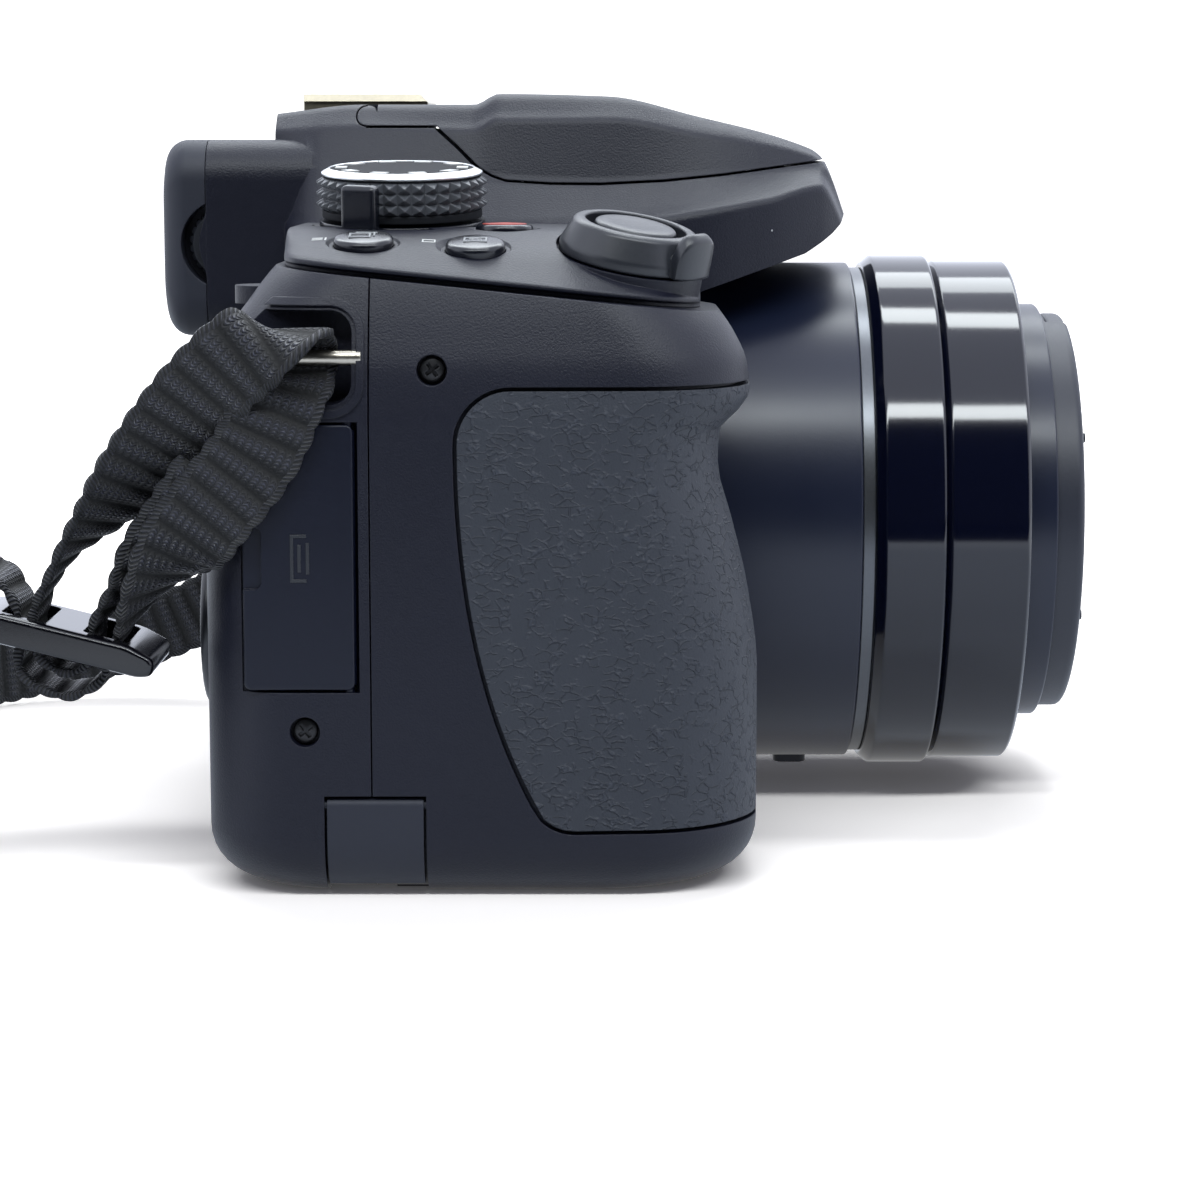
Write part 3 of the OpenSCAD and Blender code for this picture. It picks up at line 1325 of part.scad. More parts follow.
placed() front_shell();
placed() rear_cover();
placed() top_plate();
placed() finder_housing();
placed() grip_rubber();
placed() thumb_pad();
placed() case_screws();
placed() strap_bars();
placed() tripod_bush();
placed() shoe_rails();
placed() shoe_block();
placed() eyecup();
placed() eyepiece_glass();
placed() lens_barrel();
placed() trim_ring();
placed() rear_ring();
placed() hood_ring();
placed() sensor_unit();
placed() rear_glass();
placed() main_board();
placed() battery();
placed() port_socket();
placed() flash_pin();
placed() middle_tube();
placed() front_tube();
placed() front_glass();
placed() retaining_ring();
placed() lens_cap();
placed() cap_latch_top();
placed() cap_latch_bottom();
placed() mode_dial();
placed() power_lever();
placed() zoom_lever();
placed() shutter_button();
placed() burst_button();
placed() function_button();
placed() record_button();
placed() flash_lid();
placed() flash_window();
placed() flash_reflector();
placed() flash_button();
placed() diopter_wheel();
placed() rear_dial();
placed() monitor();
placed() monitor_glass();
placed() port_door();
placed() cable_flap();
placed() jack_door();
placed() battery_door();
placed() door_latch();
placed() lock_button();
placed() play_button();
placed() menu_button();
placed() display_button();
placed() cursor_pad();
placed() focus_switch();
placed() strap_right();
placed() strap_coil();
placed() strap_left();
placed() strap_slider();
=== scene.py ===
import math

import bmesh
import bpy
from mathutils import Matrix, Vector


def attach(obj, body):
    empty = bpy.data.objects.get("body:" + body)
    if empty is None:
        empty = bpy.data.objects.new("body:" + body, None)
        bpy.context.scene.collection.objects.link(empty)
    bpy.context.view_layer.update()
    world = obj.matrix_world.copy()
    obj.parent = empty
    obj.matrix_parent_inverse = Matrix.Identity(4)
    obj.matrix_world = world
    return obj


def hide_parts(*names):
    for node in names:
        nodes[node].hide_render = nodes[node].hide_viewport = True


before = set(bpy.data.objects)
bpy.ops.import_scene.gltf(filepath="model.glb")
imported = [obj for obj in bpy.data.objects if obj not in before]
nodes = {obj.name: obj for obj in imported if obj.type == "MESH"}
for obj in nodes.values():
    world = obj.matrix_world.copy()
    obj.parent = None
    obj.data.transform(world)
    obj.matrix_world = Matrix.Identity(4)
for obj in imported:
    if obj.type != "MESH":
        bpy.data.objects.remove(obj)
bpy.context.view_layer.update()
scene = bpy.context.scene
scene.view_settings.view_transform = "Standard"
print("frame loaded,", len(nodes), "solids")

mm = 0.001
socketX = 10.0  # mm from the drawing's origin back to the tripod socket, which is the frame's origin


def at(x, y, z):
    return Vector(((x + socketX) * mm, y * mm, z * mm))


# camera, floor and light
view = {"place": (0.010, -0.4124, 0.0825), "down": 8.2, "lens": 96.0, "sensor": 36.0, "nearest": 0.01}
camData = bpy.data.cameras.new("photoCamera")
camData.lens = view["lens"]
camData.sensor_width = view["sensor"]
camData.clip_start = view["nearest"]
camera = bpy.data.objects.new("photoCamera", camData)
camera.location = view["place"]
camera.rotation_euler = (math.radians(90 - view["down"]), 0, 0)
scene.collection.objects.link(camera)
scene.camera = camera

studio = {
    "floorSize": 6.0,
    "floorColour": (0.86, 0.86, 0.87, 1),
    "floorSeen": (1.30, 1.22, 1.19, 1),  # the floor as the camera shows it
    "floorMirrored": (0.62, 0.68, 0.80, 1),  # the floor as the glossy pieces show it
    "floorGlow": 0.04,
    "floorSpread": (0.12, 0.32),  # where the floor's glow starts and is full
    "floorShine": 0.38,  # the floor's glow in the glossy pieces
    "floorEdge": -0.28,
    "worldFill": 0.26,
    "roomTint": (0.90, 0.95, 1.09, 1),
    "roomEdge": (-0.74, -0.56),  # where the room turns from dark to bright, towards the camera
    "frontDark": 0.02,
    "roomBright": 1.6,
    "lampTint": (0.94, 1.0, 1.02),
}
lamps = {
    "topBox": {"place": (0.07, 0.20, 0.96), "target": (0.03, 0.0, 0.05), "size": (0.38, 0.16), "power": 2.6},
    "backBox": {"place": (0.02, 0.70, 0.85), "target": (0.03, 0.0, 0.05), "size": (1.5, 0.3), "power": 7.0},
    "leftBox": {"place": (-0.9, -0.35, 0.55), "target": (0.0, 0.0, 0.04), "size": (0.5, 0.6), "power": 0.5},
    "frontBox": {"place": (0.10, -0.68, 0.84), "target": (0.03, 0.0, 0.05), "size": (1.3, 0.12),
                 "power": 9.4},
}


def addNode(tree, kind, inputs=None, **values):  # an input that is given as a socket is linked
    node = tree.nodes.new(kind)
    for key, value in values.items():
        setattr(node, key, value)
    for label, value in (inputs or {}).items():
        if isinstance(value, bpy.types.NodeSocket):
            tree.links.new(value, node.inputs[label])
        else:
            node.inputs[label].default_value = value
    return node


def freshTree(owner):
    owner.use_nodes = True
    owner.node_tree.nodes.clear()
    return owner.node_tree


def mathStep(tree, how, *values):
    return addNode(tree, "ShaderNodeMath", dict(enumerate(values)), operation=how).outputs[0]


def mapRange(tree, value, given, wanted, smooth=False):
    inputs = {"Value": value, "From Min": given[0], "From Max": given[1], "To Min": wanted[0],
              "To Max": wanted[1]}
    kind = "SMOOTHSTEP" if smooth else "LINEAR"
    return addNode(tree, "ShaderNodeMapRange", inputs, interpolation_type=kind).outputs[0]


def mixColour(tree, share, first, second):
    inputs = {"Factor": share, "A": first, "B": second}
    return addNode(tree, "ShaderNodeMix", inputs, data_type="RGBA").outputs["Result"]


def scaled(tree, vector, amount):
    return addNode(tree, "ShaderNodeVectorMath", {0: vector, "Scale": amount}, operation="SCALE").outputs[0]


def noise(tree, vector, scale, detail=2.0, rough=0.5):
    inputs = {"Vector": vector, "Scale": scale, "Detail": detail, "Roughness": rough}
    return addNode(tree, "ShaderNodeTexNoise", inputs).outputs


def seesBackground(tree):  # the kinds of ray, and 1 for camera, glossy and transmission rays
    rays = addNode(tree, "ShaderNodeLightPath").outputs
    direct = mathStep(tree, "MAXIMUM", rays["Is Camera Ray"], rays["Is Glossy Ray"])
    return rays, mathStep(tree, "MAXIMUM", direct, rays["Is Transmission Ray"])


def makeWorld():
    scene.world = bpy.data.worlds.new("paleRoom")
    tree = freshTree(scene.world)
    rays, seen = seesBackground(tree)
    way = addNode(tree, "ShaderNodeTexCoord").outputs["Generated"]
    ahead = addNode(tree, "ShaderNodeSeparateXYZ", {0: way}).outputs["Y"]
    behind = mapRange(tree, ahead, studio["roomEdge"], (studio["frontDark"], studio["roomBright"]),
                      smooth=True)
    pale = addNode(tree, "ShaderNodeBackground", {
        "Color": mixColour(tree, rays["Is Camera Ray"], studio["roomTint"], (1, 1, 1, 1)),
        "Strength": mathStep(tree, "MAXIMUM", behind, rays["Is Camera Ray"])})
    inputs = {"Color": studio["roomTint"], "Strength": studio["worldFill"]}
    fill = addNode(tree, "ShaderNodeBackground", inputs)
    mix = addNode(tree, "ShaderNodeMixShader", {0: seen, 1: fill.outputs[0], 2: pale.outputs[0]})
    addNode(tree, "ShaderNodeOutputWorld", {"Surface": mix.outputs[0]})


def makeFloor():
    size = studio["floorSize"]
    mesh = bpy.data.meshes.new("floor")
    mesh.from_pydata([(-size, -size, 0), (size, -size, 0), (size, size, 0), (-size, size, 0)], [],
                     [(0, 1, 2, 3)])
    floor = bpy.data.objects.new("floor", mesh)
    scene.collection.objects.link(floor)
    mat = bpy.data.materials.new("paleFloor")
    tree = freshTree(mat)
    rays, seen = seesBackground(tree)
    glossy = rays["Is Glossy Ray"]
    tint = mixColour(tree, glossy, studio["floorColour"], studio["floorMirrored"])
    paper = addNode(tree, "ShaderNodeBsdfDiffuse", {
        "Color": mixColour(tree, rays["Is Camera Ray"], tint, studio["floorSeen"])})
    spot = addNode(tree, "ShaderNodeTexCoord").outputs["Object"]
    reach = addNode(tree, "ShaderNodeVectorMath", {0: spot}, operation="LENGTH").outputs["Value"]
    spread = mapRange(tree, reach, studio["floorSpread"], (studio["floorGlow"], 1.0), smooth=True)
    shine = mathStep(tree, "MULTIPLY", glossy, studio["floorShine"])
    strength = mathStep(tree, "MULTIPLY", seen, mathStep(tree, "MAXIMUM", spread, shine))
    glow = addNode(tree, "ShaderNodeEmission", {"Strength": strength})
    both = addNode(tree, "ShaderNodeAddShader", {0: paper.outputs[0], 1: glow.outputs[0]})
    away = addNode(tree, "ShaderNodeSeparateXYZ", {0: spot}).outputs["Y"]
    unlit = mathStep(tree, "MULTIPLY", mathStep(tree, "LESS_THAN", away, studio["floorEdge"]), glossy)
    dark = addNode(tree, "ShaderNodeBsdfDiffuse", {"Color": (0, 0, 0, 1)})
    cut = addNode(tree, "ShaderNodeMixShader", {0: unlit, 1: both.outputs[0], 2: dark.outputs[0]})
    addNode(tree, "ShaderNodeOutputMaterial", {"Surface": cut.outputs[0]})
    mesh.materials.append(mat)


def softBox(name, place, target, size, power):
    data = bpy.data.lights.new(name, "AREA")
    data.shape = "RECTANGLE"
    data.size, data.size_y = size
    data.energy = power
    data.color = studio["lampTint"]
    lamp = bpy.data.objects.new(name, data)
    lamp.location = place
    aim = Vector(target) - Vector(place)
    lamp.rotation_euler = aim.to_track_quat("-Z", "Y").to_euler()
    scene.collection.objects.link(lamp)


makeWorld()
makeFloor()
for lampName, lampValues in lamps.items():
    softBox(lampName, **lampValues)
print("camera and light set")


# shared surface effects
def nodeGroup(kind, name, inputs, outputs):
    group = bpy.data.node_groups.new(name, kind)
    for label, socketKind, value in inputs:
        socket = group.interface.new_socket(label, in_out="INPUT", socket_type="NodeSocket" + socketKind)
        if value is not None:
            socket.default_value = value
    for label, socketKind in outputs:
        group.interface.new_socket(label, in_out="OUTPUT", socket_type="NodeSocket" + socketKind)
    return group, addNode(group, "NodeGroupInput").outputs


def effectGroup(name, inputs, outputs=(("Height", "Float"), ("Tone", "Float"))):
    return nodeGroup("ShaderNodeTree", name, inputs, outputs)


def makeMouldGrain():  # fine spark-eroded grain and slow tone drift of moulded plastic
    group, given = effectGroup("mouldGrain", [
        ("Vector", "Vector", None), ("Scale", "Float", 2600.0), ("Drift", "Float", 60.0)])
    fine = noise(group, given["Vector"], given["Scale"], 2.5, 0.6)["Fac"]
    slow = noise(group, given["Vector"], given["Drift"], 3.0)["Fac"]
    tone = mathStep(group, "MULTIPLY", mathStep(group, "ADD", fine, slow), 0.5)
    addNode(group, "NodeGroupOutput", {"Height": fine, "Tone": tone})
    return group


leather = {"warp": 0.001, "ridge": 0.13, "patches": 0.7, "kept": (0.40, 0.58), "pores": 5.0,
           "poreHeight": 0.3}


def makeLeatherGrain():  # flat cells of a leather print, parted by fine ridges that come and go; the ridges are painted lighter as a painted highlight
    group, given = effectGroup("leatherGrain", [
        ("Vector", "Vector", None), ("Scale", "Float", 600.0), ("Stretch", "Vector", (0.7, 1.0, 1.25))])
    spot, scale = given["Vector"], given["Scale"]
    shift = scaled(group, noise(group, spot, scale)["Color"], leather["warp"])
    bent = addNode(group, "ShaderNodeVectorMath", {0: spot, 1: shift}, operation="ADD").outputs[0]
    long = addNode(group, "ShaderNodeVectorMath", {0: bent, 1: given["Stretch"]},
                   operation="MULTIPLY").outputs[0]
    cells = addNode(group, "ShaderNodeTexVoronoi", {"Vector": long, "Scale": scale},
                    feature="DISTANCE_TO_EDGE")
    ridge = mapRange(group, cells.outputs["Distance"], (0.0, leather["ridge"]), (1.0, 0.0), smooth=True)
    slow = noise(group, spot, mathStep(group, "MULTIPLY", scale, leather["patches"]))["Fac"]
    fine = noise(group, spot, mathStep(group, "MULTIPLY", scale, leather["pores"]))["Fac"]
    kept = mapRange(group, slow, leather["kept"], (0.0, 1.0), smooth=True)
    raised = mathStep(group, "MULTIPLY", ridge, kept)
    height = mathStep(group, "ADD", raised, mathStep(group, "MULTIPLY", fine, leather["poreHeight"]))
    # painted highlight: the raised ridges get a lighter colour, as if they caught the top light
    tone = mathStep(group, "ADD", mathStep(group, "MULTIPLY", raised, 0.5), 0.5)
    addNode(group, "NodeGroupOutput", {"Height": height, "Tone": tone})
    return group


dust = {"size": 0.045, "colour": (0.35, 0.36, 0.38, 1)}


def makeDustSpecks():  # a few pale motes
    group, given = effectGroup("dustSpecks", [
        ("Vector", "Vector", None), ("Scale", "Float", 260.0), ("Share", "Float", 0.06)], [("Mask", "Float")])
    inputs = {"Vector": given["Vector"], "Scale": given["Scale"]}
    motes = addNode(group, "ShaderNodeTexVoronoi", inputs).outputs
    small = mathStep(group, "LESS_THAN", motes["Distance"], dust["size"])
    pick = addNode(group, "ShaderNodeSeparateColor", {0: motes["Color"]}).outputs[0]
    few = mathStep(group, "LESS_THAN", pick, given["Share"])
    addNode(group, "NodeGroupOutput", {"Mask": mathStep(group, "MULTIPLY", small, few)})
    return group


# valleyShade: the power that paints shade into the weave's valleys
weave = {
    "ribSharp": 1.6, "slant": 2.4, "edge": 0.41, "braid": 0.8, "rib": 0.55, "knit": 0.7, "valleyShade": 2.4,
    "colour": (0.021, 0.0225, 0.036), "sheen": 0.04, "sheenRough": 0.4, "rough": (0.85, 0.36),
    "relief": 0.0007,
}


def makeWebbingWeave():  # cross ribs of the web, the knit of its yarns and a braid along each edge, with the valleys painted darker as painted shade
    group, given = effectGroup("webbingWeave", [
        ("UV", "Vector", None), ("Rib", "Float", 0.0028), ("Yarn", "Float", 0.0009),
        ("Width", "Float", 0.010)])

    def step(how, *values):
        return mathStep(group, how, *values)

    def wave(angle):
        return step("ABSOLUTE", step("SINE", angle))

    split = addNode(group, "ShaderNodeSeparateXYZ", {0: given["UV"]}).outputs
    along, across = split["X"], split["Y"]
    rib = step("POWER", wave(step("MULTIPLY", step("DIVIDE", along, given["Rib"]), math.pi)),
               weave["ribSharp"])
    yarnTurn = step("MULTIPLY", step("DIVIDE", across, given["Yarn"]), math.pi)
    runTurn = step("MULTIPLY", step("DIVIDE", along, given["Yarn"]), 2.0 * math.pi)
    column = wave(yarnTurn)
    stitch = wave(step("ADD", runTurn, step("MULTIPLY", column, weave["slant"])))
    knit = step("MULTIPLY", step("MULTIPLY", stitch, column), rib)
    side = step("ABSOLUTE", step("SUBTRACT", step("DIVIDE", across, given["Width"]), 0.5))
    edge = step("GREATER_THAN", side, weave["edge"])
    braid = step("MULTIPLY", wave(step("ADD", runTurn, yarnTurn)), weave["braid"])
    web = step("ADD", step("MULTIPLY", rib, weave["rib"]), step("MULTIPLY", knit, weave["knit"]))
    inner = step("MULTIPLY", step("SUBTRACT", 1.0, edge), web)
    height = step("ADD", inner, step("MULTIPLY", edge, braid))
    # Tone: the valleys of the knit painted darker than the crests, painted shade
    addNode(group, "NodeGroupOutput", {"Height": height, "Tone": step("POWER", height, weave["valleyShade"])})
    return group


mouldGrain = makeMouldGrain()
leatherGrain = makeLeatherGrain()
dustSpecks = makeDustSpecks()
webbingWeave = makeWebbingWeave()
softEdge = {"radius": 0.0002, "samples": 4}
whole = (0.0, 1.0)


def newFinish(name, skinInputs):  # skinInputs takes the tree and gives what goes into the surface
    mat = bpy.data.materials.new(name)
    tree = freshTree(mat)
    skin = addNode(tree, "ShaderNodeBsdfPrincipled", skinInputs(tree))
    addNode(tree, "ShaderNodeOutputMaterial", {"Surface": skin.outputs[0]})
    return mat


# one material maker: grain group, tone drift (random, and for the leather grain a painted highlight on its
# ridges), dust and softened edges
def makeFinish(name, colour, rough, grain=mouldGrain, grainScale=2600.0, depth=0.00002, drift=0.2,
               roughSpread=0.1, metal=0.0, motes=0.0, ior=1.5):
    def skinInputs(tree):
        spot = addNode(tree, "ShaderNodeTexCoord").outputs["Object"]
        pattern = addNode(tree, "ShaderNodeGroup", {"Vector": spot, "Scale": grainScale},
                          node_tree=grain).outputs
        shade = scaled(tree, colour, mapRange(tree, pattern["Tone"], whole, (1.0 - drift, 1.0 + drift)))
        if motes:
            specks = addNode(tree, "ShaderNodeGroup", {"Vector": spot, "Share": motes}, node_tree=dustSpecks)
            shade = mixColour(tree, specks.outputs["Mask"], shade, dust["colour"])
        patchy = (max(0.02, rough - roughSpread), min(1.0, rough + roughSpread))
        edge = addNode(tree, "ShaderNodeBevel", {"Radius": softEdge["radius"]}, samples=softEdge["samples"])
        bump = addNode(tree, "ShaderNodeBump", {
            "Strength": 1.0, "Distance": depth, "Height": pattern["Height"], "Normal": edge.outputs[0]})
        return {"Base Color": shade, "Metallic": metal, "IOR": ior, "Normal": bump.outputs[0],
                "Roughness": mapRange(tree, pattern["Tone"], whole, patchy)}
    return newFinish(name, skinInputs)


bodyPlastic = makeFinish("bodyPlastic", (0.0030, 0.0038, 0.0115), 0.46, grainScale=4200.0, depth=0.00005,
                         motes=0.05, ior=1.40)
darkPlastic = makeFinish("darkPlastic", (0.016, 0.018, 0.024), 0.36, depth=0.000008, motes=0.02)
# the knurl's plastic, made much paler than the dial's face so its teeth look lit: painted highlight
dialPlastic = makeFinish("dialPlastic", (0.075, 0.080, 0.092), 0.36, depth=0.000006)
dialFace = makeFinish("dialFace", (0.010, 0.011, 0.014), 0.70, depth=0.000006, ior=1.25)
# its colour drift carries the leather grain's painted highlight on the ridges
gripRubber = makeFinish("gripRubber", (0.016, 0.0195, 0.029), 0.58, leatherGrain, 820.0, 0.00022, 0.3,
                        motes=0.05)
doorPlastic = makeFinish("doorPlastic", (0.0035, 0.005, 0.014), 0.34, depth=0.00001, motes=0.06, ior=1.38)
eyeRubber = makeFinish("eyeRubber", (0.008, 0.010, 0.020), 0.60, depth=0.00001, grainScale=1800.0)
barrelSatin = makeFinish("barrelSatin", (0.006, 0.009, 0.024), 0.32, depth=0.000005, grainScale=3600.0,
                         motes=0.03, ior=1.45)
ringGloss = makeFinish("ringGloss", (0.002, 0.0028, 0.010), 0.09, depth=0.0000005, roughSpread=0.03,
                       motes=0.03)
trimMetal = makeFinish("trimMetal", (0.42, 0.43, 0.45), 0.26, metal=1.0, depth=0.000002)
trimDark = makeFinish("trimDark", (0.10, 0.105, 0.115), 0.30, metal=0.8, depth=0.000002)
# bright metal for the mode dial's rim, standing in for the highlight on its top chamfer: painted highlight
rimSilver = makeFinish("rimSilver", (0.86, 0.87, 0.87), 0.34, metal=1.0, depth=0.000002)
shoeMetal = makeFinish("shoeMetal", (0.50, 0.455, 0.34), 0.34, metal=1.0, depth=0.000002)
capPlastic = makeFinish("capPlastic", (0.010, 0.012, 0.022), 0.46, depth=0.00001)
buttonGloss = makeFinish("buttonGloss", (0.005, 0.006, 0.011), 0.22, depth=0.000002)
recordRed = makeFinish("recordRed", (0.42, 0.045, 0.03), 0.34, depth=0.000003)
screwBlack = makeFinish("screwBlack", (0.03, 0.03, 0.032), 0.34, metal=0.7, depth=0.000003)
sliderGloss = makeFinish("sliderGloss", (0.002, 0.002, 0.004), 0.12, depth=0.000001, roughSpread=0.03)
tieTape = makeFinish("tieTape", (0.05, 0.05, 0.055), 0.6, depth=0.00001)
webbingThread = makeFinish("webbingThread", (0.04, 0.041, 0.046), 0.6, depth=0.00002)
markWhite = makeFinish("markWhite", (0.72, 0.72, 0.72), 0.5, depth=0.000002)
markGrey = makeFinish("markGrey", (0.30, 0.31, 0.33), 0.5, depth=0.000002)
screenGlass = makeFinish("screenGlass", (0.006, 0.007, 0.010), 0.06, depth=0.0000004, roughSpread=0.02)
makeFinish("brightSteel", (0.42, 0.39, 0.33), 0.30, metal=1.0, depth=0.000001)
makeFinish("circuitGreen", (0.02, 0.12, 0.05), 0.45, depth=0.00003, grainScale=900.0)
makeFinish("batteryWrap", (0.10, 0.10, 0.11), 0.4)
makeFinish("mirrorFoil", (0.82, 0.82, 0.84), 0.12, metal=1.0, depth=0.000004)

clear = {"ior": 1.52, "grainScale": 400.0, "tone": (0.94, 1.0), "haze": 0.02}


def makeGlass(name, tint, rough):
    def skinInputs(tree):
        inputs = {"Vector": addNode(tree, "ShaderNodeTexCoord").outputs["Object"],
                  "Scale": clear["grainScale"]}
        tone = addNode(tree, "ShaderNodeGroup", inputs, node_tree=mouldGrain).outputs["Tone"]
        return {"Base Color": scaled(tree, tint, mapRange(tree, tone, whole, clear["tone"])),
                "Roughness": mapRange(tree, tone, whole, (rough, rough + clear["haze"])),
                "Transmission Weight": 1.0, "IOR": clear["ior"]}
    return newFinish(name, skinInputs)


def webbingInputs(tree):
    uv = addNode(tree, "ShaderNodeUVMap", uv_map="strapMap").outputs[0]
    web = addNode(tree, "ShaderNodeGroup", {"UV": uv}, node_tree=webbingWeave).outputs
    bump = addNode(tree, "ShaderNodeBump", {"Distance": weave["relief"], "Height": web["Height"]})
    # the weave's painted shade in its valleys darkens the base colour
    return {"Base Color": scaled(tree, weave["colour"], web["Tone"]), "Normal": bump.outputs[0],
            "Roughness": mapRange(tree, web["Height"], whole, weave["rough"]),
            "Sheen Weight": weave["sheen"], "Sheen Roughness": weave["sheenRough"]}


makeGlass("lensGlass", (0.82, 0.88, 0.95), 0.01)
makeGlass("flashDiffuser", (0.92, 0.93, 0.93), 0.18)
webbing = newFinish("blackWebbing", webbingInputs)
print("finishes made")


# finish of each solid that keeps its drawn shape
finishes = {
    "gripRubber": ["grip_rubber", "thumb_pad"],
    "bodyPlastic": ["front_shell", "rear_cover", "top_plate", "finder_housing", "flash_lid", "monitor",
                    "port_door", "jack_door", "battery_door"],
    "darkPlastic": ["shoe_block", "mode_dial", "power_lever", "zoom_lever", "rear_dial", "diopter_wheel",
                    "door_latch", "focus_switch", "shutter_button", "flash_button", "retaining_ring",
                    "sensor_unit"],
    "eyeRubber": ["eyecup", "cable_flap"],
    "barrelSatin": ["lens_barrel", "middle_tube", "front_tube"],
    "ringGloss": ["rear_ring", "hood_ring", "strap_slider"],
    "trimMetal": ["trim_ring", "flash_pin"],
    "brightSteel": ["strap_bars", "tripod_bush", "port_socket"],
    "shoeMetal": ["shoe_rails"],
    "capPlastic": ["lens_cap", "cap_latch_top", "cap_latch_bottom"],
    "buttonGloss": ["burst_button", "function_button", "record_button", "lock_button", "play_button",
                    "menu_button", "display_button", "cursor_pad"],
    "lensGlass": ["front_glass", "rear_glass", "eyepiece_glass"],
    "screenGlass": ["monitor_glass"],
    "flashDiffuser": ["flash_window"],
    "mirrorFoil": ["flash_reflector"],
    "circuitGreen": ["main_board"],
    "batteryWrap": ["battery"],
    "screwBlack": ["case_screws"],
}
for finishName, names in finishes.items():
    for nodeName in names:
        data = nodes[nodeName].data
        data.materials.clear()
        data.materials.append(bpy.data.materials[finishName])


def meshPiece(name, points, faces, finish=bodyPlastic, outward=True):
    mesh = bpy.data.meshes.new(name)
    mesh.from_pydata(points, [], faces)
    if outward:
        work = bmesh.new()
        work.from_mesh(mesh)
        bmesh.ops.remove_doubles(work, verts=work.verts, dist=1e-8)
        bmesh.ops.recalc_face_normals(work, faces=work.faces)
        work.to_mesh(mesh)
        work.free()
    mesh.materials.append(finish)
    piece = bpy.data.objects.new(name, mesh)
    scene.collection.objects.link(piece)
    return piece


# neck strap: one web from the right bar, through the slider, round the coil and up to the left bar
strap = {"width": 10.0, "thick": 1.2, "parts": 14, "rib": 2.8, "step": 0.4, "swell": 0.5, "scallop": 0.06}
rightRoute = [
    ((-41, -72.6, 46.5), (0.8, 0, -0.6)), ((-45.2, -71, 40.5), (0.75, 0.15, -0.6)),
    ((-50, -67.6, 35), (0.3, 0.9, -0.3)), ((-54.7, -66, 30.4), (0, 1, 0)),
    ((-55.2, -66, 26.6), (0, 1, 0)), ((-58, -66, 25.2), (0, 1, 0)), ((-61.2, -66, 27.6), (0, 1, 0)),
    ((-61.2, -66, 32), (0, 1, 0)), ((-58.4, -67, 37), (0, 1, -0.1)),
    ((-53.5, -68.5, 42.5), (0.3, 0.85, -0.35)), ((-48.5, -70.8, 48.5), (0.6, 0.5, -0.5)),
    ((-42.5, -73.4, 55.5), (0.8, 0.1, -0.6)), ((-37.5, -74.4, 60.2), (0.95, 0, -0.3)),
    ((-34, -72.6, 61.9), (1, 0, 0)), ((-33.2, -69.8, 61.6), (1, 0, 0)), ((-33.2, -67.5, 59.3), (1, 0, 0)),
    ((-33.2, -69.8, 57), (1, 0, 0)), ((-34.4, -72.6, 54.4), (1, 0, -0.2)),
    ((-37, -72.9, 49), (0.85, 0.1, -0.5)), ((-42.6, -72.4, 42), (0.72, 0, -0.6)),
    ((-47.8, -69.2, 35.5), (0.35, 0.85, -0.3)), ((-51.2, -66.3, 30.4), (0.05, 1, 0)),
    ((-53.3, -66, 27.4), (0, 1, 0)), ((-54, -66, 24.4), (0, 1, 0)), ((-58, -66, 22.6), (0, 1, 0)),
    ((-62.6, -66, 25), (0, 1, 0)), ((-62.9, -66, 29.4), (0, 1, 0)), ((-63.2, -66, 32.6), (0, 1, 0)),
    ((-65.8, -65.8, 35.6), (0, 1, 0.1)), ((-71.5, -65.8, 35.2), (0, 0.9, 0.4)),
    ((-80, -67, 31.6), (0, 0.7, 0.7)), ((-90, -70, 26), (0, 0.45, 0.9)), ((-103, -75.4, 20), (0, 0.2, 1)),
    ((-118, -80.6, 16.8), (0, 0, 1)), ((-137, -83, 15.8), (0, 0, 1)),
]
leftRoute = [
    ((-137, 7, 5.1), (0, 0, 1)), ((-121, 9, 5.1), (0, 0, 1)), ((-108, 17, 5.1), (0, 0, 1)),
    ((-100, 30, 5.1), (0, 0, 1)), ((-94, 43, 5.1), (0, 0, 1)), ((-85, 53, 5.6), (0, 0, 1)),
    ((-73, 59.6, 7.8), (-0.1, 0, 1)), ((-61, 62.4, 12), (-0.4, 0, 0.9)),
    ((-51, 63.2, 18.6), (-0.5, 0, 0.85)), ((-43.5, 63, 27), (-0.6, 0, 0.7)),
    ((-38, 62.4, 36), (-0.8, 0, 0.5)), ((-34.6, 60.4, 45), (-0.95, 0, 0.3)),
    ((-33.3, 56.8, 53), (-1, 0, 0)), ((-33.2, 51.8, 57), (-1, 0, 0)), ((-33.2, 49.5, 59.3), (-1, 0, 0)),
    ((-33.2, 51.8, 61.6), (-1, 0, 0)), ((-33.4, 56, 60.6), (-1, 0, 0)), ((-34, 60.4, 55), (-1, 0, 0.1)),
    ((-35.8, 63.2, 47), (-0.95, 0, 0.3)), ((-38.6, 65.2, 39), (-0.8, 0, 0.5)),
]
coil = {"x": -137.0, "y": -38.0, "outer": 45.0, "inner": 36.0, "lift": 10.7, "low": 5.1, "wind": 540,
        "all": 1260, "steps": 630}


def coilPoint(angle):
    back = angle - coil["wind"]
    out = back - 180
    gap = coil["outer"] - coil["inner"]
    if back < 0:
        radius, high = coil["outer"] - gap * angle / coil["wind"], 1.0
    elif out < 0:
        radius = coil["inner"] - 2 * math.sin(math.radians(back))
        high = (1 + math.cos(math.radians(back))) / 2
    else:
        radius, high = coil["inner"] + gap * out / coil["wind"], 0.0
    way = math.radians(-90 - angle)
    x, y = coil["x"] + radius * math.cos(way), coil["y"] + radius * math.sin(way)
    return Vector((x, y, coil["low"] + high * coil["lift"]))


def curvePoint(a, b, c, d, t):  # Catmull-Rom
    square, cube = 2 * a - 5 * b + 4 * c - d, 3 * b - a - 3 * c + d
    return 0.5 * (2 * b + (c - a) * t + square * t * t + cube * t ** 3)


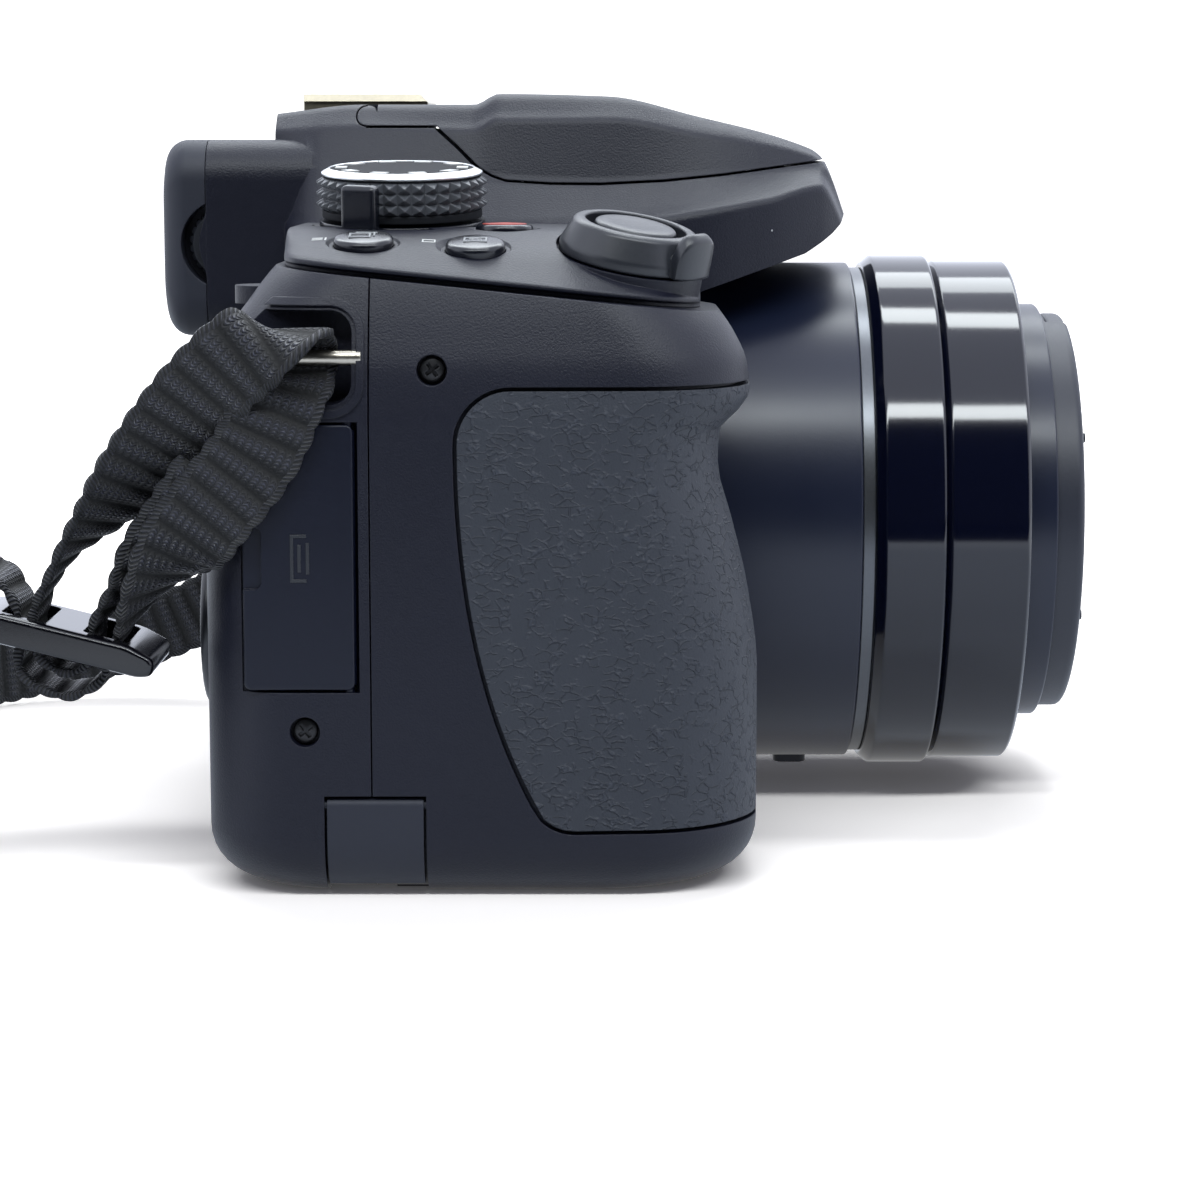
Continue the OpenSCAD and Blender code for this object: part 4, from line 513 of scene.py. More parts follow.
def routePoints(route, parts):
    spots = [Vector(p) for p, w in route]
    ways = [Vector(w).normalized() for p, w in route]
    last = len(route) - 1
    line = []
    for k in range(last):
        before, after = max(k - 1, 0), min(k + 2, last)
        for j in range(parts):
            t = j / parts
            line.append((curvePoint(spots[before], spots[k], spots[k + 1], spots[after], t),
                         curvePoint(ways[before], ways[k], ways[k + 1], ways[after], t)))
    line.append((spots[last], ways[last]))
    return line


def strapLine():
    line = routePoints(rightRoute, strap["parts"])
    for k in range(1, coil["steps"]):
        line.append((coilPoint(coil["all"] * k / coil["steps"]), Vector((0, 0, 1))))
    return line + routePoints(leftRoute, strap["parts"])


def evenLine(line, gap):  # equal steps along the line
    out = [line[0]]
    length, want = 0.0, gap
    for (p, w), (q, v) in zip(line, line[1:]):
        span = (q - p).length
        while span > 1e-9 and length + span >= want:
            t = (want - length) / span
            out.append((p.lerp(q, t), w.lerp(v, t)))
            want += gap
        length += span
    return out, length


def makeStrap(fittings):
    line, length = evenLine(strapLine(), strap["step"])
    spots = [p for p, w in line]
    half, thick = strap["width"] / 2, strap["thick"] / 2
    section = [(-1.0, 0.0), (-0.985, 0.72), (-0.86, 0.94), (-0.45, 1.0), (0.0, 1.0), (0.45, 1.0),
               (0.86, 0.94), (0.985, 0.72), (1.0, 0.0), (0.985, -0.72), (0.86, -0.94), (0.45, -1.0),
               (0.0, -1.0), (-0.45, -1.0), (-0.86, -0.94), (-0.985, -0.72)]
    count = len(section)
    points, faces = [], []
    for k, (spot, way) in enumerate(line):
        ahead = (spots[min(k + 1, len(spots) - 1)] - spots[max(k - 1, 0)]).normalized()
        across = (way - ahead * way.dot(ahead)).normalized()
        face = ahead.cross(across)
        crest = abs(math.sin(math.pi * k * strap["step"] / strap["rib"]))
        wide = half * (1 - strap["scallop"] * (1 - crest))
        high = thick * (1 - strap["swell"] * (1 - crest))
        for u, v in section:
            points.append(at(*(spot + across * (u * wide) + face * (v * high))))
    for k in range(len(line) - 1):
        for j in range(count):
            a, b = k * count + j, k * count + (j + 1) % count
            faces.append((a, a + count, b + count, b))
    faces.append(tuple(range(count)))
    faces.append(tuple((len(line) - 1) * count + j for j in range(count - 1, -1, -1)))
    piece = meshPiece("neckStrap", points, faces, webbing, outward=False)
    mesh = piece.data
    layer = mesh.uv_layers.new(name="strapMap")
    for loop in mesh.loops:
        k, j = divmod(loop.vertex_index, count)
        layer.data[loop.index].uv = (k * strap["step"] * mm,
                                     (section[j][0] * 0.5 + 0.5) * strap["width"] * mm)
    mesh.shade_smooth()
    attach(piece, "body")
    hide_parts("strap_right", "strap_coil", "strap_left")
    print("strap length", round(length), "mm")


# drawing helpers, all in mm
def table(x, rows):  # smooth line through the rows that never overshoots them
    if x <= rows[0][0]:
        return rows[0][1]
    if x >= rows[-1][0]:
        return rows[-1][1]
    k = max(i for i in range(len(rows) - 1) if rows[i][0] <= x)

    def slope(i):
        if i == 0 or i == len(rows) - 1:
            i = 1 if i == 0 else i
            return (rows[i][1] - rows[i - 1][1]) / (rows[i][0] - rows[i - 1][0])
        a = (rows[i][1] - rows[i - 1][1]) / (rows[i][0] - rows[i - 1][0])
        b = (rows[i + 1][1] - rows[i][1]) / (rows[i + 1][0] - rows[i][0])
        return 0.0 if a * b <= 0 else 2 * a * b / (a + b)

    span = rows[k + 1][0] - rows[k][0]
    t = (x - rows[k][0]) / span
    low, high = rows[k][1], rows[k + 1][1]
    bend = (slope(k) * (1 - t) - slope(k + 1) * t) * span * t * (1 - t)
    return low + (high - low) * t * t * (3 - 2 * t) + bend


def arcPoints(cx, cy, radius, start, end, steps):
    turns = [math.radians(start + (end - start) * k / steps) for k in range(steps + 1)]
    return [(cx + radius * math.cos(a), cy + radius * math.sin(a)) for a in turns]


def roundLoop(points, radii, steps):  # closed outline with its corners rounded, always the same count
    out = []
    count = len(points)
    for k in range(count):
        here, before, after = Vector(points[k]), Vector(points[k - 1]), Vector(points[(k + 1) % count])
        toBefore, toAfter = before - here, after - here
        reach = min(radii[k], toBefore.length * 0.45, toAfter.length * 0.45)
        start = here + toBefore.normalized() * reach
        end = here + toAfter.normalized() * reach
        for j in range(steps + 1):
            t = j / steps
            out.append(tuple(start * (1 - t) ** 2 + here * 2 * t * (1 - t) + end * t * t))
    return out


def loftSolid(name, rings):
    count = len(rings[0])
    points = [at(*p) for ring in rings for p in ring]
    faces = [tuple(range(count)), tuple((len(rings) - 1) * count + k for k in range(count - 1, -1, -1))]
    for j in range(len(rings) - 1):
        for k in range(count):
            a, b = j * count + k, j * count + (k + 1) % count
            faces.append((a, a + count, b + count, b))
    return meshPiece(name, points, faces)


def turned(name, outline, place, steps=144):  # closed outline of (radius, height) turned about a line
    points, faces = [], []
    count = len(outline)
    for j in range(steps):
        a = 2 * math.pi * j / steps
        for r, h in outline:
            points.append(at(*(place @ Vector((r * math.cos(a), r * math.sin(a), h)))))
    for j in range(steps):
        for k in range(count):
            a, b = j * count + k, j * count + (k + 1) % count
            c, d = (a + count) % len(points), (b + count) % len(points)
            if outline[k][0] < 1e-6 and outline[(k + 1) % count][0] < 1e-6:
                continue
            faces.append((a, b, d, c))
    return meshPiece(name, points, faces)


plain = Matrix.Identity(4)


def moved(x, y, z):
    return Matrix.Translation((x, y, z))


def turn(angle, axis):
    return Matrix.Rotation(math.radians(angle), 4, axis)


def alongX(y, z):
    return moved(0, y, z) @ turn(90, "Y")


def alongY(x, z):
    return moved(x, 0, z) @ turn(-90, "X")


def boxTool(x, y, z, place=plain):
    corners = [(a, b, c) for a in x for b in y for c in z]
    faces = [(0, 1, 3, 2), (4, 6, 7, 5), (0, 4, 5, 1), (2, 3, 7, 6), (0, 2, 6, 4), (1, 5, 7, 3)]
    return meshPiece("tool", [at(*(place @ Vector(c))) for c in corners], faces)


def rodTool(radius, low, high, place=plain, wide=None, steps=64):
    outline = [(0, low), (radius, low), (radius if wide is None else wide, high), (0, high)]
    return turned("tool", outline, place, steps=steps)


def prismTool(outline, low, high, place):  # outline in the placing's X and Y, drawn along its Z
    count = len(outline)
    points = [at(*(place @ Vector((u, v, h)))) for h in (low, high) for u, v in outline]
    faces = [tuple(range(count)), tuple(range(2 * count - 1, count - 1, -1))]
    faces += [(k, (k + 1) % count, count + (k + 1) % count, count + k) for k in range(count)]
    return meshPiece("tool", points, faces)


sideways = turn(90, "X")  # outline in X and Z, drawn towards -Y
crossways = Matrix(((0, 0, 1, 0), (1, 0, 0, 0), (0, 1, 0, 0), (0, 0, 0, 1)))  # Y and Z, drawn along X


def roundRect(width, height, radius, steps=8):
    w, h = width / 2 - radius, height / 2 - radius
    return (arcPoints(w, h, radius, 0, 90, steps) + arcPoints(-w, h, radius, 90, 180, steps)
            + arcPoints(-w, -h, radius, 180, 270, steps) + arcPoints(w, -h, radius, 270, 360, steps))


def settle(piece):  # turn live modifiers into a plain mesh
    bpy.context.view_layer.update()
    graph = bpy.context.evaluated_depsgraph_get()
    mesh = bpy.data.meshes.new_from_object(piece.evaluated_get(graph))
    old = piece.data
    piece.modifiers.clear()
    piece.data = mesh
    mesh.name = piece.name
    bpy.data.meshes.remove(old)
    return piece


def carve(piece, tools, how="DIFFERENCE"):
    for tool in tools:
        step = piece.modifiers.new("carve", "BOOLEAN")
        step.operation = how
        step.solver = "MANIFOLD"
        step.object = tool
    settle(piece)
    for tool in tools:
        mesh = tool.data
        bpy.data.objects.remove(tool)
        bpy.data.meshes.remove(mesh)
    return piece


def finishPiece(piece, finish, body, standsFor=(), sharp=32.0, even=True):
    mesh = piece.data
    mesh.materials.clear()
    mesh.materials.append(finish)
    mesh.polygons.foreach_set("material_index", [0] * len(mesh.polygons))
    mesh.shade_smooth()
    mesh.set_sharp_from_angle(angle=math.radians(sharp))
    if even:
        weigh = piece.modifiers.new("evenShade", "WEIGHTED_NORMAL")
        weigh.keep_sharp = True
        settle(piece)
    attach(piece, body)
    if standsFor:
        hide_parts(*standsFor)
    return piece


# casing: one outline at each height, split at the seam
casing = {
    "grip": 71.0, "left": 53.0, "rear": 43.5, "front": 2.0, "reach": 17.6, "inner": 38.0, "height": 66.0,
    "base": 7.0, "seam": -24.8, "gap": 0.08, "play": 0.3, "skin": 1.6, "rubber": 1.2, "groove": 0.45,
}
rounding = {"back": 10.0, "tip": 13.0, "inner": 6.0, "root": 3.6, "edge": 8.0}  # corners seen from above
far = 200.0  # beyond every piece
roof = casing["height"]
rearTable = [(-13, 0), (-8, 0.6), (-4.5, 2.3), (-1, 4.8), (2, 7), (5, 9.8)]
sideTable = [(-13, 0), (-8, 0.7), (-4.5, 1.7), (-1, 2.9), (2, 4.2), (5, 6.2)]
leftTable = [(-13, 0), (-8, 0.6), (-4.5, 2), (-1, 5), (2, 9), (5, 14)]
frontTable = [(-8, 0), (-4.5, 0.4), (-1, 1.2), (5, 2.4)]
noseTable = [(15, 0), (24, 0), (33, 1.1), (41, 3), (47, 4.5), (50.5, 4.4), (53, 2.2), (55, 1), (58, 1.3),
             (61.5, 2.8), (65, 5.4), (68, 8), (71, 11)]


def baseFall(z):
    r = casing["base"]
    return 0.0 if z >= r else r - math.sqrt(max(0.0, r * r - (r - z) ** 2))


def sideFall(z):
    return baseFall(z) + table(z - roof, sideTable)


def leftFall(z):
    return baseFall(z) + table(z - roof, leftTable)


def padded(arcs):  # outline through arcs, with a point close to each end of the straights between them
    out = []
    for k, arc in enumerate(arcs):
        out += arc
        a, b = Vector(arc[-1]), Vector(arcs[(k + 1) % len(arcs)][0])
        gap = (b - a).length
        if gap > 4:
            way = (b - a) / gap
            out += [tuple(a + way * 0.9), tuple((a + b) / 2), tuple(b - way * 0.9)]
        else:
            out += [tuple(a.lerp(b, 0.25)), tuple(a.lerp(b, 0.5)), tuple(a.lerp(b, 0.75))]
    return out


def caseRing(z, inset):
    rear = -casing["rear"] + baseFall(z) + table(z - roof, rearTable) + inset
    side = -casing["grip"] + sideFall(z) + inset
    nose = casing["reach"] - baseFall(z) - table(z, noseTable) - inset
    left = casing["left"] - leftFall(z) - inset
    front = casing["front"] - baseFall(z) / 2 - table(z - roof, frontTable) - inset
    inner = -casing["inner"] - inset
    back, tip, root, edge = rounding["back"], rounding["tip"], rounding["root"], rounding["edge"]
    bend = max(0.5, min(rounding["inner"], nose - front - root))
    return padded([
        arcPoints(rear + back, side + back, back, 180, 270, 14),
        arcPoints(nose - tip, side + tip, tip, 270, 360, 18),
        arcPoints(nose - bend, inner - bend, bend, 0, 90, 8),
        arcPoints(front + root, inner + root, root, 270, 180, 8),
        arcPoints(front - edge, left - edge, edge, 0, 90, 10),
        arcPoints(rear + back, left - back, back, 90, 180, 14),
    ])


caseLevels = [casing["base"] * (1 - math.cos(math.radians(a))) for a in range(0, 90, 9)]
caseLevels += [casing["base"] + k for k in range(0, 45, 2)] + [52 + 0.8 * k for k in range(24)] + [71.2]


def caseSolid(name, inset=0.0):
    return loftSolid(name, [[(x, y, z) for x, y in caseRing(z, inset)] for z in caseLevels])


def deckSeat(x):
    return deck["seat"] - (x - deck["pivot"]) * math.tan(math.radians(deck["tilt"]))


def caseCuts():
    slope = [(-90, deckSeat(-90)), (90, deckSeat(90)), (90, far), (-90, far)]
    g = casing["gap"]
    half, low = finder["wide"] / 2 + g, finder["axis"] - finder["tall"] / 2 - g
    return [
        boxTool((-far, far), (deck["far"], far), (roof, far)),
        prismTool(slope, -deck["far"] - g, far, sideways),
        boxTool((-far, finder["front"] + g), (-half, half), (low, far)),
    ]


doors = {
    "port": (11.4, 28.8, moved(-27.1, -70.2, 37.8)),
    "jack": (15.0, 20.0, moved(-6.8, 52.2, 34.0) @ Matrix.Diagonal((1, -1, 1, 1))),
    "battery": (15.6, 26.0, moved(-9.6, -48.0, 0.8) @ turn(90, "Z") @ turn(90, "X")),
}  # width, height and place of the hinge
hinge = {"pin": 0.5, "hole": 0.55, "out": 1.2}
bays = {
    "battery": ((-22, 3), (-63.5, -49.5), (-1, 51)),
    "port": ((-34.6, -31.0), (-76.4, -62.4), (32.1, 43.5)),
    "board": ((-33, -23.8), (-23, 44), (8, 54)),
}


def leafPocket(width, height, place):
    g, t = casing["play"], casing["skin"]
    z = (-height / 2 - g, height / 2 + g)
    return [
        boxTool((-width - g, 0), (-5, t / 2 + g), z, place),
        rodTool(t / 2 + g, z[0], z[1], place),
        boxTool((-1, t / 2 + g), (-5, 0), z, place),
        rodTool(hinge["hole"], z[0] - hinge["out"], z[1] + hinge["out"], place),
    ]


flap = {"x": (-29.7, -19.2), "hinge": (-70.2, 10.6), "low": 1.4}


def flapPocket():
    g = casing["play"]
    x = (flap["x"][0] - g, flap["x"][1] + g)
    y, z = flap["hinge"]
    pocket = boxTool(x, (-far, 0), (flap["low"] - 5, z))
    carve(pocket, [caseSolid("tool", casing["skin"] + g)])
    r, out = casing["skin"] / 2 + g, hinge["out"]
    return [pocket, rodTool(r, x[0], x[1], alongX(y, z)),
            rodTool(hinge["hole"], x[0] - out, x[1] + out, alongX(y, z)), boxTool(x, (y - 5, y), (z, z + r))]


screw = {"bore": 1.65, "seat": -1.7, "clear": 3.3}


def screwPlaces():
    places = []
    for x, z in ((-18, 58), (-32, 18.8)):
        places.append(moved(x, -casing["grip"] + sideFall(z), z) @ turn(90, "X"))
        places.append(moved(x, casing["left"] - leftFall(z), z) @ turn(-90, "X"))
    for x, y in ((-34, 20), (-34, -30), (-12, 38)):
        places.append(moved(x, y, 0) @ turn(180, "X"))
    return places


def screwHoles():
    low, high = screw["seat"], screw["clear"]
    return [rodTool(screw["bore"], low, high, place, steps=40) for place in screwPlaces()]


def rubberOutline(g):
    def bend(p, q, s, steps):
        return [tuple(Vector(p) * (1 - t) ** 2 + Vector(q) * 2 * t * (1 - t) + Vector(s) * t * t)
                for t in (k / steps for k in range(steps + 1))]
    return (arcPoints(-9.6, 50, 6.2 - g, 90, 180, 12)
            + bend((-15.8 + g, 49), (-15.6 + g, 26), (-7.5 + g, 10.5 + g), 24)
            + arcPoints(-2.8, 12.6, 5.2 - g, 225, 270, 6) + [(far, 10.4 + g), (far, 56.7 - g)])


def rubberZone(g):
    return prismTool(rubberOutline(g), 41.0 + g, far, sideways)


jackHoles = {"radius": 1.8, "x": -14.3, "z": (29, 39)}
tripod = {"radius": 5.5, "deep": 6.5}


def makeFrontShell():
    shell = caseSolid("frontShell")
    hollow = rubberZone(0.0)
    carve(hollow, [caseSolid("tool", casing["rubber"] + casing["gap"])])
    tools = caseCuts() + [boxTool((-far, casing["seam"] + casing["gap"]), (-far, far), (-far, far))]
    tools += [rodTool(lens["spigot"] + casing["gap"], -60, 60, onAxis), boxTool(*bays["battery"]), hollow]
    tools += leafPocket(*doors["battery"]) + leafPocket(*doors["jack"]) + flapPocket() + screwHoles()
    for z in jackHoles["z"]:
        tools.append(rodTool(jackHoles["radius"], 39, 53, alongY(jackHoles["x"], z), steps=40))
    r, deep = tripod["radius"] + casing["gap"], tripod["deep"] + casing["gap"]
    tools.append(rodTool(r, -1, deep, moved(-socketX, 0, 0)))
    carve(shell, tools)
    finishPiece(shell, bodyPlastic, "body", ["front_shell"])


def makeGripRubber():
    rubber = caseSolid("gripRubber")
    carve(rubber, [rubberZone(casing["groove"])], "INTERSECT")
    carve(rubber, [caseSolid("tool", casing["rubber"])])
    finishPiece(rubber, gripRubber, "body", ["grip_rubber"])


monitorAxis = (-44.75, 46.0)
screen = {"back": 47.3, "thick": 5.1, "low": 6.0, "high": 55.0, "right": -26.5, "knuckle": 2.45, "ear": 2.0,
          "pin": 1.0, "pinPlay": 0.05}


def monitorEars():
    out = []
    g, r, e = casing["play"], screen["knuckle"], screen["ear"]
    x, y = monitorAxis
    for low, high in ((screen["low"] - e, screen["low"] + e - g),
                      (screen["high"] - e + g, screen["high"] + e)):
        outline = arcPoints(x, y, r, 90, 270, 24) + [(x + 8, y - r), (x + 8, y + r)]
        out.append(prismTool(outline, low, high, plain))
    return out


def monitorRecess():
    g, r = casing["play"], screen["knuckle"]
    x, y = monitorAxis
    low, high = screen["low"] + screen["ear"] - g, screen["high"] - screen["ear"] + g
    front = -screen["back"] + screen["thick"] + g
    return [
        boxTool((-far, front), (screen["right"] - g, y - r - g), (screen["low"] - g, screen["high"] + g)),
        rodTool(r + g, low, high, moved(x, y, 0)),
        boxTool((x - 9, x), (y - r - g - 1, y + r + g), (low, high)),
        boxTool((x, front), (y - r - g - 1, y - r - g + 1), (low, high)),
        rodTool(screen["pin"] + screen["pinPlay"], screen["low"], screen["high"], moved(x, y, 0)),
    ]


rearSpots = {"lock": (-34, 50), "display": (-34, 39), "menu": (-34, 11), "play": (-46, 11), "pad": (-51, 28)}
rearKeys = {"button": 2.6, "pad": 9.5}
thumb = {"wide": 14.0, "tall": 13.0, "corner": 4.0, "y": -53.5, "z": 46.0}
rearDial = {"place": (-36.6, -57.0, 61.8), "radius": 6.0, "thick": 2.8}
lug = {"z": 59.3, "front": -29.0, "half": 5.0, "corner": 2.4, "deep": 5.5, "lip": 0.85, "proud": 0.35,
       "step": 0.5}


def lugOutline(grow, back):
    x, r, high = lug["front"], lug["corner"] + grow, lug["half"] + grow
    middle = lug["half"] - lug["corner"]
    return ([(back, -high), (x, -high)] + arcPoints(x, -middle, r, 270, 360, 10)
            + arcPoints(x, middle, r, 0, 90, 10) + [(x, high), (back, high)])


def lugRecess(side, grow=0.0, back=-44):
    edge = casing["left"] if side > 0 else -casing["grip"]
    place = moved(0, edge, lug["z"]) @ turn(90, "X")
    return prismTool(lugOutline(grow, back), -lug["deep"], lug["deep"], place)


def lugLip(side):  # low bead round the recess
    lip = caseSolid("tool", -lug["proud"])
    carve(lip, [lugRecess(side, lug["lip"] + lug["step"], -42)], "INTERSECT")
    carve(lip, [lugRecess(side, lug["step"], -50), caseSolid("tool", 1.0)])
    return lip


def makeRearCover():
    cover = caseSolid("rearCover")
    g = casing["gap"]
    carve(cover, caseCuts() + [boxTool((casing["seam"] - g, far), (-far, far), (-far, far))])
    x, y, z = rearDial["place"]
    ledge = roundRect(11, 7, 3.4)
    added = monitorEars() + [prismTool(ledge, z + 2.6, z + 4.6, moved(x + 1.4, y + 3, 0))]
    carve(cover, added + [lugLip(-1), lugLip(1)], "UNION")
    tools = monitorRecess() + leafPocket(*doors["port"]) + flapPocket() + screwHoles()
    tools += [boxTool(*bays["port"]), boxTool(*bays["board"])]
    tools += [rodTool(rearDial["radius"] + 0.3, -1.7, 1.7, moved(x, y, z)),
              rodTool(1.05, -2.9, 2.9, moved(x, y, z))]
    tools += [lugRecess(-1), lugRecess(1)]
    for name, (sy, sz) in rearSpots.items():
        r = rearKeys["pad"] if name == "pad" else rearKeys["button"]
        tools.append(rodTool(r + g, -46.5, -40.5, alongX(sy, sz)))
    outline = roundRect(thumb["wide"] + 2 * g, thumb["tall"] + 2 * g, thumb["corner"])
    tools.append(prismTool(outline, -48.5, -42.42, moved(0, thumb["y"], thumb["z"]) @ crossways))
    carve(cover, tools)
    finishPiece(cover, bodyPlastic, "body", ["rear_cover"])


# top plate: sections from the grip's crest to the shutter
deck = {
    "near": [(-35, 15), (-34.5, 11), (-33, 7.9), (-30, 5.9), (-26, 5), (-2, 5.2), (4, 6.4), (8, 9),
             (10.6, 13.5), (11.4, 18)],
    "crest": [(-35, 6.6), (-5, 6.5), (4, 5.6), (11.4, 4.2)],
    "slant": [(-35, 5.5), (-26, 5.4), (-13.7, 4.85), (4, 3.6), (11.4, 2.8)],
    "far": -26.2, "seat": 66.2, "pivot": -11.0, "tilt": 5.9, "key": 3.3,
}
dialPlace = moved(-22.9, -38.6, 72.4) @ turn(5, "X")
shutterPlace = moved(3.3, -55, 69.1) @ turn(10, "Y") @ turn(10, "X")
burstPlace = moved(-26, -58.6, 71.3) @ turn(13, "X")
functionPlace = moved(-13.7, -58.6, 70.75) @ turn(13, "X")
recordPlace = moved(-10.8, -48, 72.5)
dial = {"radius": 10.0, "height": 5.6, "lift": 1.26, "tabReach": 12.4, "tabAngle": 249.0, "sweep": 28.0,
        "axle": 3.0}
shutterRadius = 4.6


def deckRing(x):
    y = -casing["grip"] + table(x, deck["near"])
    s, c = deckSeat(x), roof + table(x, deck["crest"])
    b = max(y + 3, -51.5)
    m = (b + y) / 2
    points = [(deck["far"], s), (deck["far"], c), (b + 3, c), (b, c - 0.2),
              (m, roof + table(x, deck["slant"])), (y + 0.8, s + 1.5), (y, s + 1.1), (y, s + 0.6),
              (y + 0.9, s + 0.5), (y + 0.9, s)]
    return roundLoop(points, [0.02, 0.02, 2.5, 2.5, 4, 0.8, 0.3, 0.3, 0.2, 0.02], 6)


def onSurface(piece, x, y):  # placing on a piece's upper face, its Z outwards
    spot, face = piece.ray_cast(at(x, y, far), Vector((0, 0, -1)))[1:3]
    side = (Vector((1, 0, 0)) - face * face.x).normalized()
    away = face.cross(side)
    place = Matrix((side, away, face)).transposed().to_4x4()
    return moved(spot.x / mm - socketX, spot.y / mm, spot.z / mm) @ place


def buttonBore(place, radius):
    return [rodTool(radius + casing["gap"], -2.6, 3.4, place),
            rodTool(radius + 0.5, -0.4, 0.4, place, wide=radius + 1.3)]


def makeTopPlate():
    stations = [-35 + 0.25 * k for k in range(9)] + [-32.5 + 0.9 * k for k in range(38)]
    stations += [1.6 + 0.4 * k for k in range(25)]
    rings = [[(x, y, z) for y, z in deckRing(x)] for x in stations]
    plate = loftSolid("topPlate", rings)
    seats = [rodTool(9.8, -2, 0.8, dialPlace, steps=96), rodTool(8.3, -3, 2.6, shutterPlace, steps=96)]
    carve(plate, seats, "UNION")
    carve(plate, [rodTool(5.6, -1, 3, shutterPlace, steps=96)], "UNION")
    well = rodTool(dial["radius"] + 0.5, 0, 9, dialPlace, steps=96)
    start, end = dial["tabAngle"] - 13, dial["tabAngle"] + dial["sweep"] + 13
    sweep = arcPoints(0, 0, dial["tabReach"] + casing["play"], start, end, 16)
    carve(well, [prismTool([(0, 0)] + sweep, 0, 9, dialPlace)], "UNION")
    carve(well, [rodTool(5.0, -1, 0.96, dialPlace)])
    collar = rodTool(8.4, 0, 9, shutterPlace, steps=96)
    carve(collar, [rodTool(5.55, -1, 9.5, shutterPlace, steps=96)])
    tools = [well, collar, rodTool(dial["axle"] + 0.05, -4, 4, dialPlace),
             rodTool(shutterRadius + casing["gap"], -2, 10, shutterPlace)]
    for place in (burstPlace, functionPlace, recordPlace):
        tools += buttonBore(place, deck["key"])
    under = [(-90, deckSeat(-90) + 0.04), (-90, 0), (90, 0), (90, deckSeat(90) + 0.04)]
    tools.append(prismTool(under, -far, far, sideways))
    carve(plate, tools)
    finishPiece(plate, bodyPlastic, "body", ["top_plate"])
    stack = [((-0.9, 0.3), (-0.5 + 0.45 * k, -0.3 + 0.45 * k)) for k in range(3)]
    prints = {"burstPrint": (-30.9, stack + [((0.5, 0.7), (-0.5, 0.6))]),
              "functionPrint": (-18.9, frameSign(0, 0, 1.5, 1.1, 0.18))}
    for name, (x, bars) in prints.items():
        makeSign(name, bars, -0.3, 0.04, onSurface(plate, x, -57.2), "body", markWhite)


# finder hump and the flash lid cut from it
hump = {
    "top": [(-40, 19.6), (-29, 20.7), (-15.5, 20.7), (-12.5, 22), (1, 21.7), (11.5, 19.4), (26, 15.4),
            (27.7, 14.2), (31, 6.2)],
    "topWide": [(-40, 11), (-34, 13.5), (-12, 14), (11.5, 13), (26, 9.5), (31, 8)],
    "drop": [(-40, 2.2), (-12.5, 3.2), (11.5, 2.2), (26, 0.8), (31, 0.3)],
    "edgeWide": [(-40, 14), (-34, 16.8), (-12, 17.5), (11.5, 16.5), (26, 12), (31, 9.5)],
    "seam": [(-40, 14), (-20, 12.4), (-12, 11.6), (0, 11.2), (15, 12.2), (27.7, 13), (31, 5.8)],
    "seamOut": [(-40, 0.6), (-34, 3), (-12, 2.2), (11.5, 2), (26, 1.2), (31, 0.6)],
    "fold": [(-40, 8), (-34, 6.4), (-10, 6.6), (20, 10.6), (27, 12.2), (31, 5.4)],
    "foldWide": [(-40, 15.5), (-37, 21), (-34, 24), (-10, 25), (10, 22.8), (20, 18.8), (27, 14), (31, 11)],
    "lowWide": [(-40, 16), (-37, 23), (-34, 26), (4, 26), (12, 25.2), (20, 22.5), (27, 18), (31, 13)],
}
flashAxis = (-28.6, 85.3)
lidHinge = {"eye": 1.16, "cheek": 7.6, "half": 11.1}
finder = {"axis": 70.4, "wide": 40.0, "tall": 24.0, "corner": 5.0, "front": -35.0, "back": -48.0,
          "bore": 9.08}
dioptre = {"x": -45.7, "z": 69.8}
onFinder = moved(0, 0, finder["axis"]) @ crossways
onDioptre = alongY(dioptre["x"], dioptre["z"])


def humpRing(x):
    top = roof + table(x, hump["top"])
    edge = top - table(x, hump["drop"])
    edgeWide = table(x, hump["edgeWide"])
    fold = roof + table(x, hump["fold"])
    low = table(x, hump["lowWide"])
    half = [(low, 58), (low, fold - 1.4), (table(x, hump["foldWide"]), fold),
            (edgeWide + table(x, hump["seamOut"]), roof + table(x, hump["seam"])), (edgeWide, edge),
            (edgeWide - 1.2, edge + min(0.9, (top - edge) / 2)), (table(x, hump["topWide"]), top)]
    points = half + [(-y, z) for y, z in reversed(half)]
    radii = [0.02, 1.0, 1.6, 0.9, 0.9, 0.9, 2.4]
    return roundLoop(points, radii + radii[::-1], 6)


def humpSolid(name):
    stations = [-40 + 0.8 * k for k in range(82)] + [25.4 + 0.35 * k for k in range(16)] + [31]
    return loftSolid(name, [[(x, y, z) for y, z in humpRing(x)] for x in stations])


def lidZone(g):
    fx, fz = flashAxis
    seam = [(fx, 106), (fx, 84.1 - g), (-20 - g, 84.1 - g), (-17.2 - g, 81.6 - g), (-14.8 - g, 79.2 - g),
            (-13.2, 78.2 - g), (-11.5, 77.6 - g), (-6, 77.25 - g), (0, 77.2 - g), (8, 77.6 - g),
            (15, 78.3 - g), (40, 81.6 - g), (40, 106)]
    zone = prismTool(seam, -far, far, sideways)
    half = lidHinge["half"] - g
    carve(zone, [rodTool(lidHinge["eye"] + 0.6 * g, -far, far, alongY(fx, fz))], "UNION")
    carve(zone, [rodTool(lidHinge["cheek"] - g, -half, half, alongY(fx, fz), steps=96)])
    return zone


